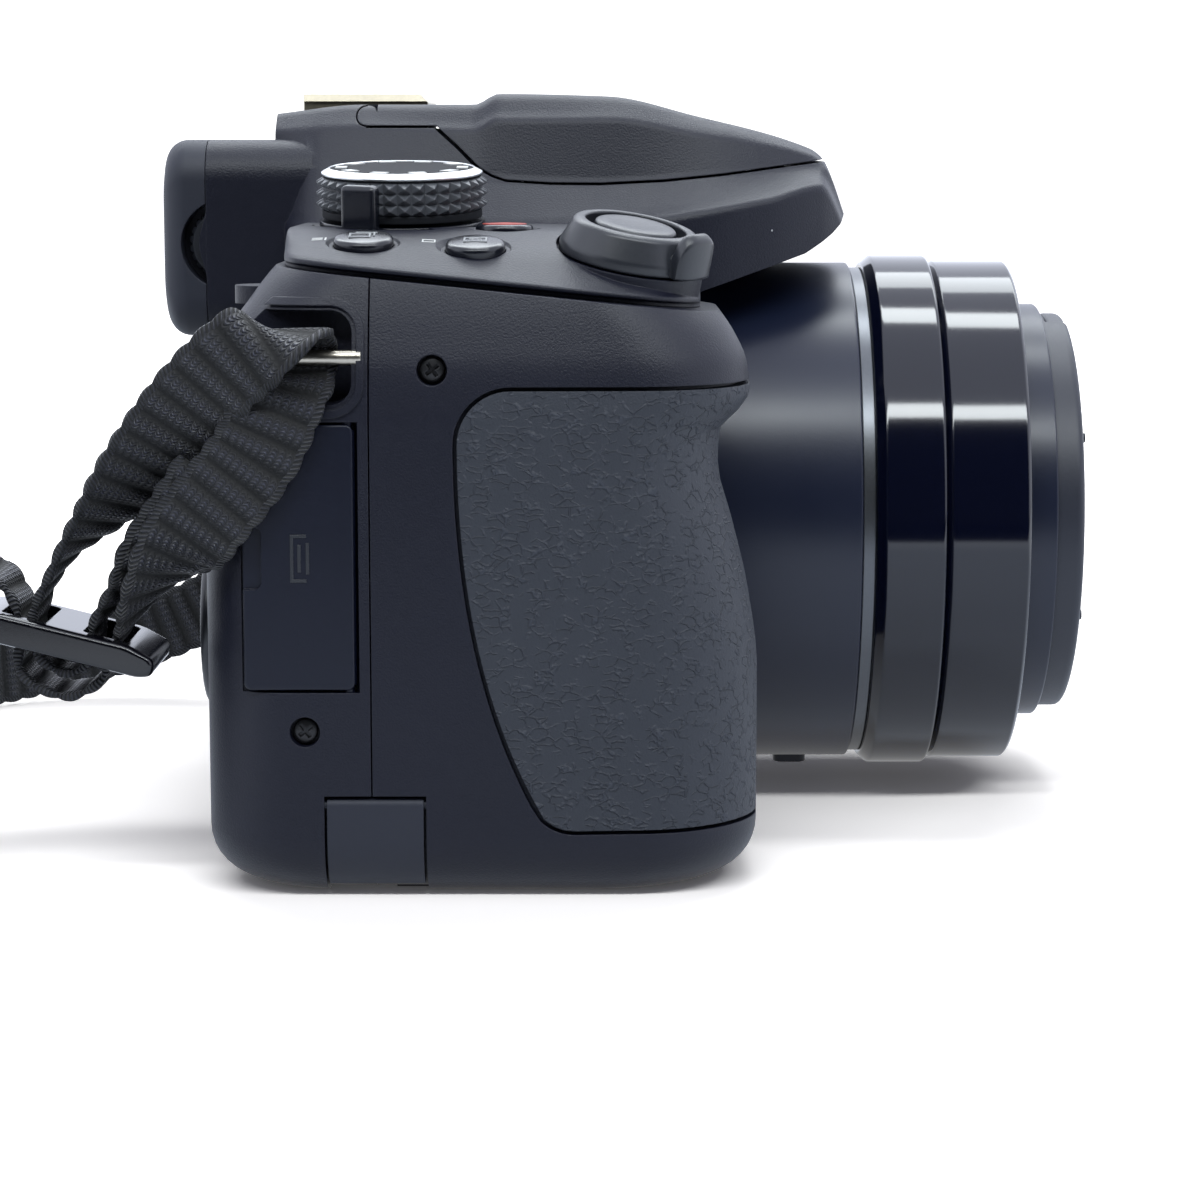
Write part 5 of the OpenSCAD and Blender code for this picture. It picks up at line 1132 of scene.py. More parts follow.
def makeFinderHousing():
    housing = humpSolid("finderHousing")
    below = [(2, 60.8), (32, 71), (32, 0), (2, 0)]
    carve(housing, [boxTool((-far, 2.08), (-far, far), (0, 66.02)), prismTool(below, -far, far, sideways)])
    back, z = finder["back"], dioptre["z"]
    outline = roundRect(finder["wide"], finder["tall"], finder["corner"], 10)
    carve(housing, [prismTool(outline, back, finder["front"], onFinder)], "UNION")
    swell = [(back - 0.9 * math.cos(math.radians(k * 10)) ** 2, z + 4.6 * k / 9) for k in range(-9, 10)]
    carve(housing, [prismTool(swell + [(-46, 74.4), (-46, 65.2)], 19.35, 19.97, sideways)], "UNION")
    nose = [(30.7, 74.2), (30.3, 73.0), (29.6, 72.0), (28.6, 71.0), (27.4, 70.1), (26, 69.2), (24, 68),
            (40, 60), (40, 74.2)]
    carve(housing, [prismTool(nose, -far, far, sideways)])
    x, z = flashAxis
    tools = [rodTool(lens["barrel"] + casing["play"], 2, far, onAxis, steps=128), lidZone(casing["play"]),
             boxTool((-10, 24), (-11.5, 11.5), (70.5, far))]
    tools += [boxTool((-far, -21.08), (-10.23, 10.23), (84.4, far)),
              rodTool(0.62, -14.3, 14.3, alongY(x, z), steps=24)]
    tools += [rodTool(finder["bore"], -far, -38, alongX(0, finder["axis"])),
              rodTool(4.8, -19.3, -16.5, onDioptre)]
    tools += [rodTool(3.08, -7.4, 4.6, moved(-22, 24.1, 73.6) @ turn(-90, "X"))]
    carve(housing, tools)
    finishPiece(housing, bodyPlastic, "body", ["finder_housing"])


def lidHeel():  # the lid's upper rear corner, which would foul the housing as the lid turns
    x, z = flashAxis
    heel = boxTool((x - 2, x + 1.25), (-far, far), (z, z + 5))
    return carve(heel, [rodTool(1.28, -far, far, alongY(x, z))])


def makeFlashLid():
    lid = humpSolid("flashLid")
    carve(lid, [lidZone(0.0)], "INTERSECT")
    carve(lid, [boxTool((-9, 19), (-11, 11), (0, 81.4)), boxTool((-3, 14), (-9, 9), (0, 83.2)),
                rodTool(0.65, -14.4, 14.4, alongY(*flashAxis), steps=24), lidHeel()])
    finishPiece(lid, bodyPlastic, "flash_lid", ["flash_lid"])


def makeFlashPins():  # two stubs that join the lid's arms to the housing
    outline = soft([(0, 10.4), (0.58, 10.4), (0.58, 14.2), (0, 14.2)], 0.1)
    pin, other = [turned("flashPins", outline, alongY(*flashAxis) @ turn(a, "X"), steps=32) for a in (0, 180)]
    carve(pin, [other], "UNION")
    finishPiece(pin, trimMetal, "body", ["flash_pin"])


shoe = {"back": -36.8, "front": -21.4, "floor": 85.0, "top": 88.0, "half": 9.35, "wall": 0.8, "lip": 12.5}


def makeShoeRails():  # folded metal channel, open to the rear, with rolled lips
    x, w, t = (shoe["back"], shoe["front"]), shoe["half"], shoe["wall"]
    low, high, stop = shoe["floor"] - 0.5, shoe["top"], shoe["front"] - 1.6
    half = [(w + t - 0.35, low), (w + t - 0.35, high - 1.0), (w + t, high - 0.9), (w + t - 0.65, high)]
    section = half + [(-y, z) for y, z in reversed(half)]
    rails = prismTool(section, x[0], x[1], crossways)
    rails.name = rails.data.name = "shoeRails"
    nose = [(x[1] - 1, high), (x[1], high - 1), (x[1] + 1, high - 1), (x[1] + 1, high + 1),
            (x[1] - 1, high + 1)]
    carve(rails, [
        boxTool((x[0] - 1, stop), (-w, w), (shoe["floor"], high - t)),
        boxTool((x[0] - 1, stop), (-shoe["lip"] / 2, shoe["lip"] / 2), (shoe["floor"] + 0.1, high + 1)),
        boxTool((x[0] + 2, x[1] - 4), (-6, 6), (low - 1, shoe["floor"] + 1)),
        prismTool(nose, -20, 20, sideways),
    ])
    finishPiece(rails, shoeMetal, "body", ["shoe_rails"])


def makeEyecup():
    r = 3.0  # rolled edge

    def ring(x, inset):
        outline = roundRect(finder["wide"] - 2 * inset, finder["tall"] - 2 * inset, finder["corner"], 10)
        return [(x, y, finder["axis"] + z) for y, z in outline]
    turns = [math.radians(a) for a in range(0, 91, 9)]
    rings = [ring(-53.5 + r * (1 - math.cos(a)), r * (1 - math.sin(a))) for a in turns]
    cup = loftSolid("eyecup", rings + [ring(-49.4, 0), ring(-48.08, 0)])
    bore, step = roundRect(26, 16, 4), roundRect(30, 19, 4)
    carve(cup, [prismTool(bore, -60, -40, onFinder), prismTool(step, -60, -51.5, onFinder),
                rodTool(5.4, -far, -16.5, onDioptre)])
    finishPiece(cup, eyeRubber, "body", ["eyecup"])


def makeCableFlap():
    x, (y, z) = flap["x"], flap["hinge"]
    leaf = caseSolid("cableFlap")
    carve(leaf, [boxTool(x, (-far, -40), (flap["low"], z))], "INTERSECT")
    carve(leaf, [caseSolid("tool", casing["skin"])])
    line, out = alongX(y, z), hinge["out"]
    knuckle, pin = rodTool(casing["skin"] / 2, *x, line), rodTool(hinge["pin"], x[0] - out, x[1] + out, line)
    carve(leaf, [knuckle, pin], "UNION")
    finishPiece(leaf, eyeRubber, "cable_flap", ["cable_flap"])


# wheels, marks, screws and stitches that repeat are grown by node trees
toFrame = Matrix.Scale(mm, 4) @ moved(socketX, 0, 0)


def growthTree(name, inputs):
    return nodeGroup("GeometryNodeTree", name, inputs + [("Finish", "Material", None)],
                     [("Geometry", "Geometry")])


def endTree(tree, given, geometry):
    plainMesh = addNode(tree, "GeometryNodeRealizeInstances", {"Geometry": geometry}).outputs["Geometry"]
    coat = addNode(tree, "GeometryNodeSetMaterial", {"Geometry": plainMesh, "Material": given["Finish"]})
    addNode(tree, "NodeGroupOutput", {"Geometry": coat.outputs["Geometry"]})
    return tree


def setOn(tree, points, model, facing):
    inputs = {"Points": points, "Instance": model, "Rotation": facing.outputs["Rotation"]}
    return addNode(tree, "GeometryNodeInstanceOnPoints", inputs).outputs["Instances"]


def makeKnurlTree():  # drum whose side faces are drawn out into teeth
    tree, given = growthTree("knurledDrum", [
        ("Teeth", "Int", 36), ("Rows", "Int", 3), ("Radius", "Float", 9.1), ("Width", "Float", 3.8),
        ("Tooth", "Float", 0.9), ("Tip", "Float", 0.15)])
    drum = addNode(tree, "GeometryNodeMeshCylinder", {
        "Vertices": given["Teeth"], "Side Segments": given["Rows"], "Radius": given["Radius"],
        "Depth": given["Width"]}, fill_type="NGON").outputs
    draw = addNode(tree, "GeometryNodeExtrudeMesh", {
        "Mesh": drum["Mesh"], "Selection": drum["Side"], "Offset Scale": given["Tooth"],
        "Individual": True}, mode="FACES").outputs
    narrow = addNode(tree, "GeometryNodeScaleElements", {
        "Geometry": draw["Mesh"], "Selection": draw["Top"], "Scale": given["Tip"]}, domain="FACE")
    return endTree(tree, given, narrow.outputs["Geometry"])


def makeMarkTree():  # small bars set round a circle, long side along the radius
    tree, given = growthTree("ringOfMarks", [("Count", "Int", 10), ("Radius", "Float", 7.0),
                                             ("Bar", "Vector", None)])
    circle = addNode(tree, "GeometryNodeMeshCircle", {"Vertices": given["Count"], "Radius": given["Radius"]})
    bar = addNode(tree, "GeometryNodeMeshCube", {"Size": given["Bar"]})
    spot = addNode(tree, "GeometryNodeInputPosition").outputs[0]
    lean = addNode(tree, "FunctionNodeAlignRotationToVector", {"Vector": spot}, axis="X")
    return endTree(tree, given, setOn(tree, circle.outputs["Mesh"], bar.outputs["Mesh"], lean))


def makePlaceTree():  # one piece on every point, its Z along the point's way and its X along its run
    tree, given = growthTree("setOnPoints", [("Points", "Geometry", None), ("Piece", "Object", None)])
    way, run = [addNode(tree, "GeometryNodeInputNamedAttribute", {"Name": label}, data_type="FLOAT_VECTOR")
                for label in ("way", "run")]
    stand = addNode(tree, "FunctionNodeAlignRotationToVector", {"Vector": way.outputs["Attribute"]}, axis="Z")
    inputs = {"Rotation": stand.outputs["Rotation"], "Vector": run.outputs["Attribute"]}
    swing = addNode(tree, "FunctionNodeAlignRotationToVector", inputs, axis="X", pivot_axis="Z")
    model = addNode(tree, "GeometryNodeObjectInfo", {"Object": given["Piece"]})
    return endTree(tree, given, setOn(tree, given["Points"], model.outputs["Geometry"], swing))


knurledDrum = makeKnurlTree()
ringOfMarks = makeMarkTree()
setOnPoints = makePlaceTree()


def grow(name, tree, place, values, mesh=None):
    piece = bpy.data.objects.new(name, mesh or bpy.data.meshes.new(name))
    scene.collection.objects.link(piece)
    step = piece.modifiers.new("grow", "NODES")
    step.node_group = tree
    for socket in tree.interface.items_tree:
        if socket.in_out == "INPUT" and socket.name in values:
            step[socket.identifier] = values[socket.name]
    settle(piece)
    piece.data.transform(toFrame @ place)
    return piece


def pointsMesh(name, spots):  # points with the way each one faces and runs
    mesh = bpy.data.meshes.new(name)
    mesh.from_pydata([spot for spot, way, run in spots], [], [])
    for k, label in ((1, "way"), (2, "run")):
        layer = mesh.attributes.new(label, "FLOAT_VECTOR", "POINT")
        for j, spot in enumerate(spots):
            layer.data[j].vector = spot[k]
    return mesh


def makeScrews():  # cross-head screws sunk in their counterbores
    outline = [(0, -3), (0.65, -3), (0.65, -1.7), (1.35, -1.7), (1.35, -0.85), (0, -0.6)]
    head = turned("screwHead", roundLoop(outline, [0, 0, 0, 0.1, 0.25, 0], 4), plain, steps=40)
    long, wide, low = (-0.85, 0.85), (-0.2, 0.2), -1.15
    carve(head, [boxTool(long, wide, (low, 0)), boxTool(wide, long, (low, 0.01))])
    head.data.transform(toFrame.inverted())
    spots = [(place.translation, place.to_3x3() @ Vector((0, 0, 1)), place.to_3x3() @ Vector((0.8, 0.6, 0)))
             for place in screwPlaces()]
    screws = grow("caseScrews", setOnPoints, plain, {"Piece": head, "Finish": screwBlack},
                  pointsMesh("screwSpots", spots))
    bpy.data.objects.remove(head)
    finishPiece(screws, screwBlack, "body", ["case_screws"], even=False)


# lens: pieces turned about the optical axis
lens = {"axis": 35.0, "barrel": 31.8, "neck": 30.8, "bore": 29.6, "spigot": 27.0, "ring": 32.7, "hood": 32.0,
        "middle": 29.55, "tube": 26.5, "seat": 25.6, "tubeBore": 24.4, "barrelEnd": 31.6, "ringStart": 33.2,
        "hoodStart": 41.6, "hoodEnd": 51.8, "tubeBack": 5.2, "tubeEnd": 55.7, "capEnd": 59.2,
        "glassSeat": 45.5}
onAxis = alongX(0, lens["axis"])


def soft(corners, reach=0.3, steps=5):  # outline with every corner off the axis rounded
    return roundLoop(corners, [reach if r > 0 else 0 for r, h in corners], steps)


def lensPiece(name, corners, reach, finish, body, node):
    piece = turned(name, soft(corners, reach), onAxis, steps=192)
    return finishPiece(piece, finish, body, [node])


def makeLensBarrel():
    b, end, neck, bore = lens["barrel"], lens["barrelEnd"], lens["neck"], lens["bore"]
    inside = lens["spigot"] - 3
    outline = [(inside, -17), (lens["spigot"], -17), (lens["spigot"], 2.08), (b, 2.08), (b, end), (neck, end),
               (neck, 50.6), (bore, 50.6), (bore, 4), (inside, 4)]
    barrel = turned("lensBarrel", soft(outline, 0.35), onAxis, steps=192)
    foot = moved(0, 0, lens["axis"]) @ turn(4, "X") @ moved(24.8, 0, -b)
    slot = moved(0, 0, lens["axis"]) @ turn(-125, "X") @ moved(18, 0, b)
    carve(barrel, [prismTool(roundRect(4.2, 6, 1.2), -1.3, 1.3, foot)], "UNION")
    carve(barrel, [prismTool(roundRect(9.6, 4.6, 0.8), -0.9, 4, slot)])
    finishPiece(barrel, barrelSatin, "body", ["lens_barrel"])


def makeLensRings():
    n = lens["neck"] + casing["gap"]
    s, e, r = lens["barrelEnd"], lens["ringStart"], lens["barrel"] - 0.62
    outline = [(n, s + 0.04), (r, s + 0.04), (r, e - 0.04), (n, e - 0.04)]
    lensPiece("trimRing", outline, 0.18, trimDark, "body", "trim_ring")
    s, e, r = lens["ringStart"], lens["hoodStart"], lens["ring"]
    outline = [(n, s), (r - 1, s), (r, s + 1.2), (r, e - 0.3), (r - 0.35, e), (n, e)]
    lensPiece("rearRing", outline, 0.25, ringGloss, "body", "rear_ring")
    s, e, r, bore = lens["hoodStart"], lens["hoodEnd"], lens["hood"], lens["bore"]
    outline = [(n, s + 0.02), (r - 0.75, s + 0.02), (r, s + 0.8), (r, e - 0.4), (r - 0.45, e), (bore, e),
               (bore, e - 1.1), (n, e - 1.1)]
    lensPiece("hoodRing", outline, 0.15, ringGloss, "body", "hood_ring")


def makeLensTubes():
    s, e, r, inside = lens["tubeBack"], lens["tubeEnd"], lens["tube"], lens["tubeBore"]
    seat, glass = lens["seat"], lens["glassSeat"]
    thread = [(seat + 0.16 * (k % 2), e - 0.5 - 0.36 * k) for k in range(10)]
    outline = ([(inside, s), (r, s), (r, e), (seat, e)] + thread
               + [(seat, e - 4.2), (inside, e - 4.2), (inside, glass), (inside - 2, glass),
                  (inside - 2, glass - 1.5), (inside, glass - 1.5)])
    lensPiece("frontTube", outline, 0.25, barrelSatin, "front_tube", "front_tube")
    inside, r, e = lens["tube"] + 0.05, lens["middle"], lens["hoodEnd"] - 0.8
    outline = [(inside, s), (r, s), (r, e), (inside, e)]
    lensPiece("middleTube", outline, 0.3, barrelSatin, "middle_tube", "middle_tube")


cap = {"rim": 25.45, "latchWide": 13.0, "latchIn": 18.4, "travel": 1.5, "nub": 0.9, "nubY": 18.9,
       "nubZ": 11.0}


def makeLensCap():
    r, s, e, axis = cap["rim"], lens["tubeEnd"], lens["capEnd"], lens["axis"]
    outline = [(0, s - 0.6), (r - 2, s - 0.6), (r - 2, s - 3), (r, s - 3), (r, e), (r - 6, e), (r - 7, e - 1),
               (0, e - 1)]
    lid = turned("lensCap", roundLoop(outline, [0, 0.3, 0.3, 0.3, 1.1, 0.6, 0.6, 0], 6), onAxis, steps=192)
    spots = [alongX(u * cap["nubY"], axis + v * cap["nubZ"]) for u in (-1, 1) for v in (-1, 1)]
    wide = cap["nub"] - 0.3
    carve(lid, [rodTool(cap["nub"], e - 1.4, e + 0.6, spot, wide=wide, steps=32) for spot in spots], "UNION")
    g = casing["gap"]
    half = cap["latchWide"] / 2 + g
    low = cap["latchIn"] - cap["travel"] - 0.4
    carve(lid, [boxTool((s + 0.6, far), (-half, half), (axis + v * low, axis + v * far)) for v in (-1, 1)])
    finishPiece(lid, capPlastic, "lens_cap", ["lens_cap"])
    for name, node, v in (("capLatchTop", "cap_latch_top", 1), ("capLatchBottom", "cap_latch_bottom", -1)):
        low, high, edge = s + 0.68, e - 0.2, r - 0.15
        latch = turned(name, soft([(0, low), (edge, low), (edge, high), (0, high)], 0.8), onAxis, steps=192)
        zone = boxTool((0, far), (-half + g, half - g), (axis + v * cap["latchIn"], axis + v * far))
        carve(latch, [zone], "INTERSECT")
        grooves = [axis + v * (cap["latchIn"] + 1.6 + 1.4 * k) for k in range(4)]
        carve(latch, [rodTool(0.35, -far, far, alongY(high, z), steps=20) for z in grooves])
        finishPiece(latch, capPlastic, node, [node])


# top controls
def makeModeDial():
    low, h, r = dial["lift"], dial["height"], dial["radius"]
    axle = dial["axle"]
    core = [(0, -3), (axle, -3), (axle, low), (r - 0.75, low), (r - 0.75, low + 0.85), (r - 1.05, low + 0.95),
            (r - 1.05, low + h - 0.95), (r - 0.75, low + h - 0.9), (r - 0.8, low + h - 0.6),
            (r - 1.8, low + h - 0.04), (0, low + h)]
    finishPiece(turned("modeDial", soft(core, 0.12), dialPlace, steps=128), dialFace, "mode_dial",
                ["mode_dial"])
    # knurl teeth in the paler copy of the dial's plastic, a painted highlight
    knurl = grow("modeDialKnurl", knurledDrum, dialPlace @ moved(0, 0, low + h / 2), {
        "Teeth": 36, "Rows": 3, "Radius": r - 0.95, "Width": h - 1.9, "Tooth": 0.9, "Tip": 0.12,
        "Finish": dialPlastic})
    finishPiece(knurl, dialPlastic, "mode_dial", sharp=20, even=False)
    # a bright metal ring on the dial's top chamfer, standing in for the highlight there: painted highlight
    rim = [(r - 1.64, low + h + 0.05), (r - 0.68, low + h - 0.47), (r - 0.72, low + h - 0.7),
           (r - 1.7, low + h - 0.15)]
    finishPiece(turned("modeDialRim", rim, dialPlace, steps=128), rimSilver, "mode_dial")
    marks = grow("modeDialMarks", ringOfMarks, dialPlace @ moved(0, 0, low + h + 0.02), {
        "Count": 10, "Radius": r - 3.0, "Bar": (1.3, 1.9, 0.14), "Finish": markWhite})
    finishPiece(marks, markWhite, "mode_dial", even=False)


def rolledEdge(high, radius, start):  # height and inset of each step of a quarter round
    turns = [math.radians(a) for a in range(start, 91, 15)]
    return [(high - radius + radius * math.sin(a), radius * (1 - math.cos(a))) for a in turns]


def blockRings(x, y, low, high, corner, crown):  # upright block with round corners and a crowned top
    cx, cy = (x[0] + x[1]) / 2, (y[0] + y[1]) / 2
    rings = []
    for z, inset in [(low, 0), (high - crown, 0)] + rolledEdge(high, crown, 15):
        outline = roundRect(x[1] - x[0] - 2 * inset, y[1] - y[0] - 2 * inset, max(0.08, corner - inset), 6)
        rings.append([(cx + u, cy + v, z) for u, v in outline])
    return rings


def placedLoft(name, rings, place):
    return loftSolid(name, [[tuple(place @ Vector(p)) for p in ring] for ring in rings])


def makePowerLever():
    r, reach = dial["radius"], dial["tabReach"]
    low, edge, inside = casing["gap"], r - 0.4, 5.05
    outline = soft([(inside, low), (edge, low), (edge, 0.88), (inside, 0.88)], 0.12)
    lever = turned("powerLever", outline, dialPlace, steps=96)
    place = dialPlace @ turn(dial["tabAngle"], "Z")
    arm = blockRings((r - 2, reach - 0.4), (-1.9, 1.9), low, 0.9, 0.4, 0.1)
    tab = blockRings((reach - 1.9, reach), (-2.1, 2.1), low, 5.9, 0.5, 0.7)
    carve(lever, [placedLoft("tool", rings, place) for rings in (arm, tab)], "UNION")
    finishPiece(lever, buttonGloss, "power_lever", ["power_lever"])


def makeZoomLever():
    collar = soft([(5.65, 0.18), (8.1, 0.18), (8.1, 1.3), (6.95, 3.9), (6.45, 4.18), (5.65, 4.18)], 0.3)
    lever = turned("zoomLever", collar, shutterPlace, steps=128)
    foot, base = 7.6, 0.3  # radius about which the fin thins, and its lower edge
    fin = soft([(6.2, 0.3), (9.6, 0.3), (9.6, 4.7), (8.7, 5.4), (8.0, 5.2), (7.5, 3.4)], 0.45)
    rings = []
    for k in range(-12, 13):
        t = k / 12
        a = math.radians(-37 + 19 * t)
        rise = 1 - 0.5 * abs(t) ** 5
        thin = 1 - 0.25 * abs(t) ** 6
        section = [(foot + (r - foot) * thin, base + (h - base) * rise) for r, h in fin]
        rings.append([(r * math.cos(a), r * math.sin(a), h) for r, h in section])
    carve(lever, [placedLoft("tool", rings, shutterPlace)], "UNION")
    finishPiece(lever, darkPlastic, "zoom_lever", ["zoom_lever"])


def capOutline(r, low, high, dome):
    return roundLoop([(0, low), (r, low), (r, high), (0, high + dome)], [0, 0.1, 0.6, 0], 8)


def makeShutterButton():
    r = shutterRadius
    outline = roundLoop([(0, -0.6), (r, -0.6), (r, 4.1), (r - 1.2, 4.3), (0, 4.1)], [0, 0.1, 0.5, 1.2, 0], 8)
    button = turned("shutterButton", outline, shutterPlace, steps=96)
    finishPiece(button, darkPlastic, "shutter_button", ["shutter_button"])


def frameSign(x, y, width, height, line):  # outline of a small rectangle as four bars
    w, h = width / 2, height / 2
    return [((x - w, x + w), (y - h, y - h + line)), ((x - w, x + w), (y + h - line, y + h)),
            ((x - w, x - w + line), (y - h, y + h)), ((x + w - line, x + w), (y - h, y + h))]


def makeSign(name, bars, low, high, place, body, finish=markGrey):
    sign, *others = [boxTool(x, y, (low, high), place) for x, y in bars]
    carve(sign, others, "UNION")
    sign.name = sign.data.name = name
    finishPiece(sign, finish, body, even=False)


def makeTopButtons():
    for name, node, place, high in (("burstButton", "burst_button", burstPlace, 0.6),
                                    ("functionButton", "function_button", functionPlace, 0.6),
                                    ("recordButton", "record_button", recordPlace, 0.4)):
        outline = capOutline(deck["key"], -1.5, high, 0.3 if high > 0.5 else 0.2)
        finishPiece(turned(name, outline, place, steps=72), buttonGloss, node, [node])
    bars = frameSign(-0.35, -0.3, 2.4, 1.6, 0.22) + [((-0.9, 1.5), (0.75, 0.95)), ((1.1, 1.3), (-0.5, 0.95))]
    makeSign("burstSign", bars, 0.6, 0.88, burstPlace, "burst_button")
    bars = frameSign(0, 0, 2.6, 1.7, 0.22) + [((-0.7, 0.7), (-0.15, 0.1)), ((-0.7, 0.3), (0.3, 0.5))]
    makeSign("functionSign", bars, 0.6, 0.88, functionPlace, "function_button")
    dot = turned("recordDot", capOutline(2.5, 0.3, 0.55, 0.12), recordPlace, steps=64)
    finishPiece(dot, recordRed, "record_button")


def makeRearDial():
    x, y, z = rearDial["place"]
    r, t = rearDial["radius"], rearDial["thick"]
    wheel = grow("rearDial", knurledDrum, moved(x, y, z), {
        "Teeth": 30, "Rows": 1, "Radius": r - 0.5, "Width": t - 0.3, "Tooth": 0.5, "Tip": 0.62,
        "Finish": darkPlastic})
    finishPiece(wheel, darkPlastic, "rear_dial", ["rear_dial"], sharp=20, even=False)
    edge = r - 0.7
    outline = [(0, -2.6), (1, -2.6), (1, -t / 2), (edge, -t / 2), (edge, t / 2), (1, t / 2), (1, 2.6),
               (0, 2.6)]
    hub = turned("rearDialHub", soft(outline, 0.15), moved(x, y, z), steps=64)
    finishPiece(hub, darkPlastic, "rear_dial")


def makeDiopterWheel():
    place = moved(dioptre["x"], -17.9, dioptre["z"]) @ turn(90, "X")
    wheel = grow("diopterWheel", knurledDrum, place, {
        "Teeth": 24, "Rows": 1, "Radius": 4.05, "Width": 2.2, "Tooth": 0.45, "Tip": 0.55,
        "Finish": darkPlastic})
    finishPiece(wheel, darkPlastic, "diopter_wheel", ["diopter_wheel"], sharp=20, even=False)


# doors, monitor and rear keys
def sheetRings(width, height, corner, low, high, soften):  # flat plate whose outer edge is rolled over
    rings = []
    for z, i in [(low, 0.0)] + rolledEdge(high, soften, 0):
        outline = roundRect(width - 2 * i, height - 2 * i, max(0.1, corner - i), 6)
        rings.append([(u, v, z) for u, v in outline])
    return rings


def makeSideDoor(name, node, width, height, line, sign):
    t, spare = casing["skin"] / 2, 0.3  # spare covers the play at either end
    face = line @ turn(90, "X")  # local X along the door, Y up, Z outwards
    rings = sheetRings(width + 2 * spare, height, 0.8, -t, t, 0.25)
    door = placedLoft(name, rings, face @ moved(spare - width / 2, 0, 0))
    knuckle, end = height / 2 - 0.6, height / 2 + hinge["out"]
    pin = rodTool(hinge["pin"], -end, end, line, steps=24)
    carve(door, [rodTool(t, -knuckle, knuckle, line, steps=32), pin], "UNION")
    carve(door, [prismTool(roundRect(4.0, 6.8, 0.8), t - 0.6, t + 3, face @ moved(-width, 0, 0))])
    finishPiece(door, doorPlastic, node, [node], sharp=5, even=False)
    makeSign(name + "Sign", sign, t - 0.1, t + 0.09, face @ moved(-width / 2, 0, 0), node, darkPlastic)


def makeSideDoors():
    plug = [((-0.55, -0.2), (-2.6, 2.6)), ((1.15, 1.5), (-1.7, 1.7)), ((-0.2, 1.2), (-2.6, -2.25)),
            ((-0.2, 1.2), (2.25, 2.6)), ((0.25, 0.6), (-1.5, 1.5))]
    makeSideDoor("portDoor", "port_door", *doors["port"], plug)
    jack = [((-0.3, 0.3), (-2.4, 1.2)), ((-0.9, 0.9), (1.2, 1.6)), ((-0.9, -0.5), (1.6, 3.0)),
            ((0.5, 0.9), (1.6, 3.0))]
    makeSideDoor("jackDoor", "jack_door", *doors["jack"], jack)


def makeMonitor():
    x, y = monitorAxis
    back, t, low, high, r = screen["back"], screen["thick"], screen["low"], screen["high"], screen["knuckle"]
    left = y - r - casing["play"] - 0.2
    wide, tall = left - screen["right"], high - low
    middle = moved(-back + t, (left + screen["right"]) / 2, (low + high) / 2) @ turn(-90, "Y")
    panel = placedLoft("monitor", sheetRings(tall, wide, 2.2, 0, t, 0.7), middle)
    line, inner = moved(x, y, 0), (low + screen["ear"], high - screen["ear"])
    carve(panel, [rodTool(r, *inner, line), boxTool((x - r + 0.5, x + r), (y - r - 1, y), inner),
                  rodTool(screen["pin"], low + 0.5, high - 0.5, line, steps=32)], "UNION")
    window = middle @ moved(0, -0.2, 0)
    carve(panel, [prismTool(roundRect(tall - 6, wide - 5, 1.2), t - 0.8, t + 2, window)])
    finishPiece(panel, bodyPlastic, "monitor", ["monitor"])
    glass = placedLoft("monitorGlass", sheetRings(tall - 6.2, wide - 5.2, 1.1, t - 0.78, t, 0.12), window)
    finishPiece(glass, screenGlass, "monitor", ["monitor_glass"])


def rearPlace(name):
    y, z = rearSpots[name]
    return moved(-casing["rear"], y, z) @ turn(-90, "Y")  # local X up, Z backwards


def makeRearKeys():
    signs = {
        "lock": frameSign(-0.3, 0, 1.0, 1.5, 0.5) + frameSign(0.5, 0, 1.0, 0.9, 0.2),
        "display": frameSign(0, 0, 1.5, 2.1, 0.2),
        "menu": [((v, v + 0.22), (-1.1, 1.1)) for v in (-0.8, -0.1, 0.6)],
        "play": [((-0.9 + 0.22 * k, 0.9 - 0.22 * k), (0.7 - 0.32 * k, 1.02 - 0.32 * k)) for k in range(4)],
    }
    for name in signs:
        key = turned(name + "Button", capOutline(rearKeys["button"], -1.6, 0.6, 0.2), rearPlace(name),
                     steps=64)
        finishPiece(key, buttonGloss, name + "_button", [name + "_button"])
    r = rearKeys["pad"]
    outline = soft([(0, -1.8), (r, -1.8), (r, 0.6), (r - 0.5, 1.1), (4.2, 0.7), (4.2, 0.2), (3.6, 0.2),
                    (3.6, 1.1), (3.2, 1.4), (0, 1.4)], 0.35)
    pad = turned("cursorPad", outline, rearPlace("pad"), steps=96)
    finishPiece(pad, darkPlastic, "cursor_pad", ["cursor_pad"])
    for name in ("play", "menu", "display", "lock"):
        makeSign(name + "Sign", signs[name], 0.6, 0.84, rearPlace(name), name + "_button")
    arrows = grow("padMarks", ringOfMarks, rearPlace("pad") @ moved(0, 0, 0.92), {
        "Count": 4, "Radius": 6.6, "Bar": (0.7, 0.9, 0.12), "Finish": markGrey})
    finishPiece(arrows, markGrey, "cursor_pad", even=False)


# strap fittings
slider = {"place": (-58.2, -66.0, 28.6), "tilt": 14.0, "wide": 14.4, "slot": 10.8}


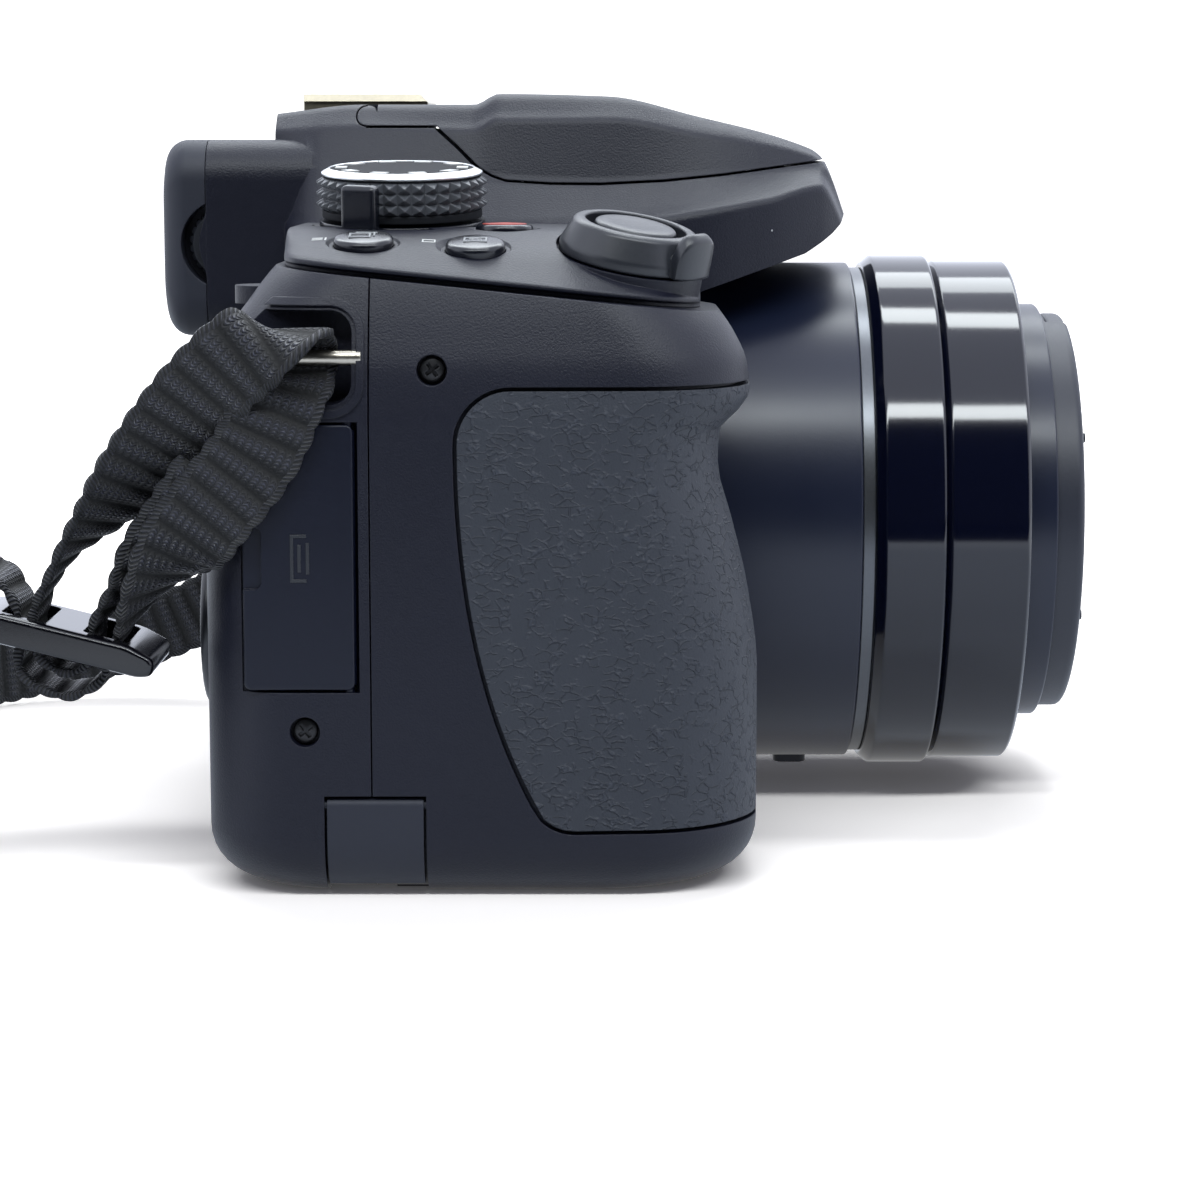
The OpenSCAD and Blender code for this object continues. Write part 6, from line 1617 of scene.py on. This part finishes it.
def makeSlider():
    flat = moved(*slider["place"]) @ turn(slider["tilt"], "Y")
    place = flat @ turn(90, "X")
    half = slider["wide"] / 2
    outline = [(-10.5, -0.9), (-9, -1.4), (9, -1.4), (10.5, -0.9), (10.4, 0.9), (7.2, 1.85), (-7.2, 1.85),
               (-10.4, 0.9)]
    section = roundLoop(outline, [0.9] * len(outline), 6)
    ends = [(half, 0.5), (half - 0.15, 0.22), (half - 0.45, 0.05), (half - 0.8, 0)]
    rings = []
    for v, inset in [(-v, inset) for v, inset in ends] + ends[::-1]:
        rings.append([(u * (1 - inset / 10), w * (1 - inset / 1.6), v) for u, w in section])
    body = placedLoft("strapSlider", rings, place)
    slots = [flat @ moved(u, 0, 0) for u in (-4.5, 4.5)]
    carve(body, [prismTool(roundRect(5, slider["slot"], 0.7), -6, 6, slot) for slot in slots])
    finishPiece(body, sliderGloss, "body", ["strap_slider"])
    return body


def makeCoilTie():  # thin tape round the bundle of turns, far side from the camera
    place = Matrix(((-1, 0, 0, coil["x"]), (0, 0, 1, coil["y"]), (0, 1, 0, 0), (0, 0, 0, 1)))
    low, high = 0.09, 20.9
    outer = [(u + 40.2, v) for u, v in roundRect(13.2, high + 0.7, 0.9)]
    inner = [(u + 40.2, v) for u, v in roundRect(12.2, high - low, 0.5)]
    tie = prismTool([(u, v + (high + 0.7) / 2 + 0.01) for u, v in outer], -4, 4, place)
    tie.name = "coilTie"
    carve(tie, [prismTool([(u, v + (high + low) / 2) for u, v in inner], -5, 5, place)])
    finishPiece(tie, tieTape, "body")
    return tie


def makeStitches():  # box of stitches that holds the fold at the left bar
    line = routePoints(leftRoute, 8)[-30:-4]
    spots = []
    for k, (spot, way) in enumerate(line[:-1]):
        ahead = (line[k + 1][0] - spot).normalized()
        across = (way - ahead * way.dot(ahead)).normalized()
        face = ahead.cross(across).normalized()
        if k % 2 == 0:
            for side in (-0.62, 0.62):
                for up in (-1, 1):
                    spots.append((spot + across * (side * 5) + face * (up * 0.62), face * up, ahead))
    outline = [(0, -0.75), (0.2, -0.65), (0.24, 0), (0.2, 0.65), (0, 0.75)]
    thread = turned("thread", roundLoop(outline, [0, 0.1, 0.2, 0.1, 0], 3), turn(90, "Y"), steps=10)
    thread.data.transform(toFrame.inverted())
    stitches = grow("strapStitches", setOnPoints, plain, {"Piece": thread, "Finish": webbingThread},
                    pointsMesh("stitchSpots", spots))
    bpy.data.objects.remove(thread)
    finishPiece(stitches, webbingThread, "body", even=False)
    return stitches


for make in (makeFrontShell, makeRearCover, makeGripRubber, makeTopPlate, makeFinderHousing, makeFlashLid,
             makeFlashPins, makeShoeRails, makeEyecup, makeCableFlap, makeScrews, makeLensBarrel,
             makeLensRings, makeLensTubes, makeLensCap, makeModeDial, makePowerLever, makeZoomLever,
             makeShutterButton, makeTopButtons, makeRearDial, makeDiopterWheel, makeSideDoors, makeMonitor,
             makeRearKeys):
    make()
    print("made", make.__name__[4:])
makeStrap([makeSlider(), makeCoilTie(), makeStitches()])
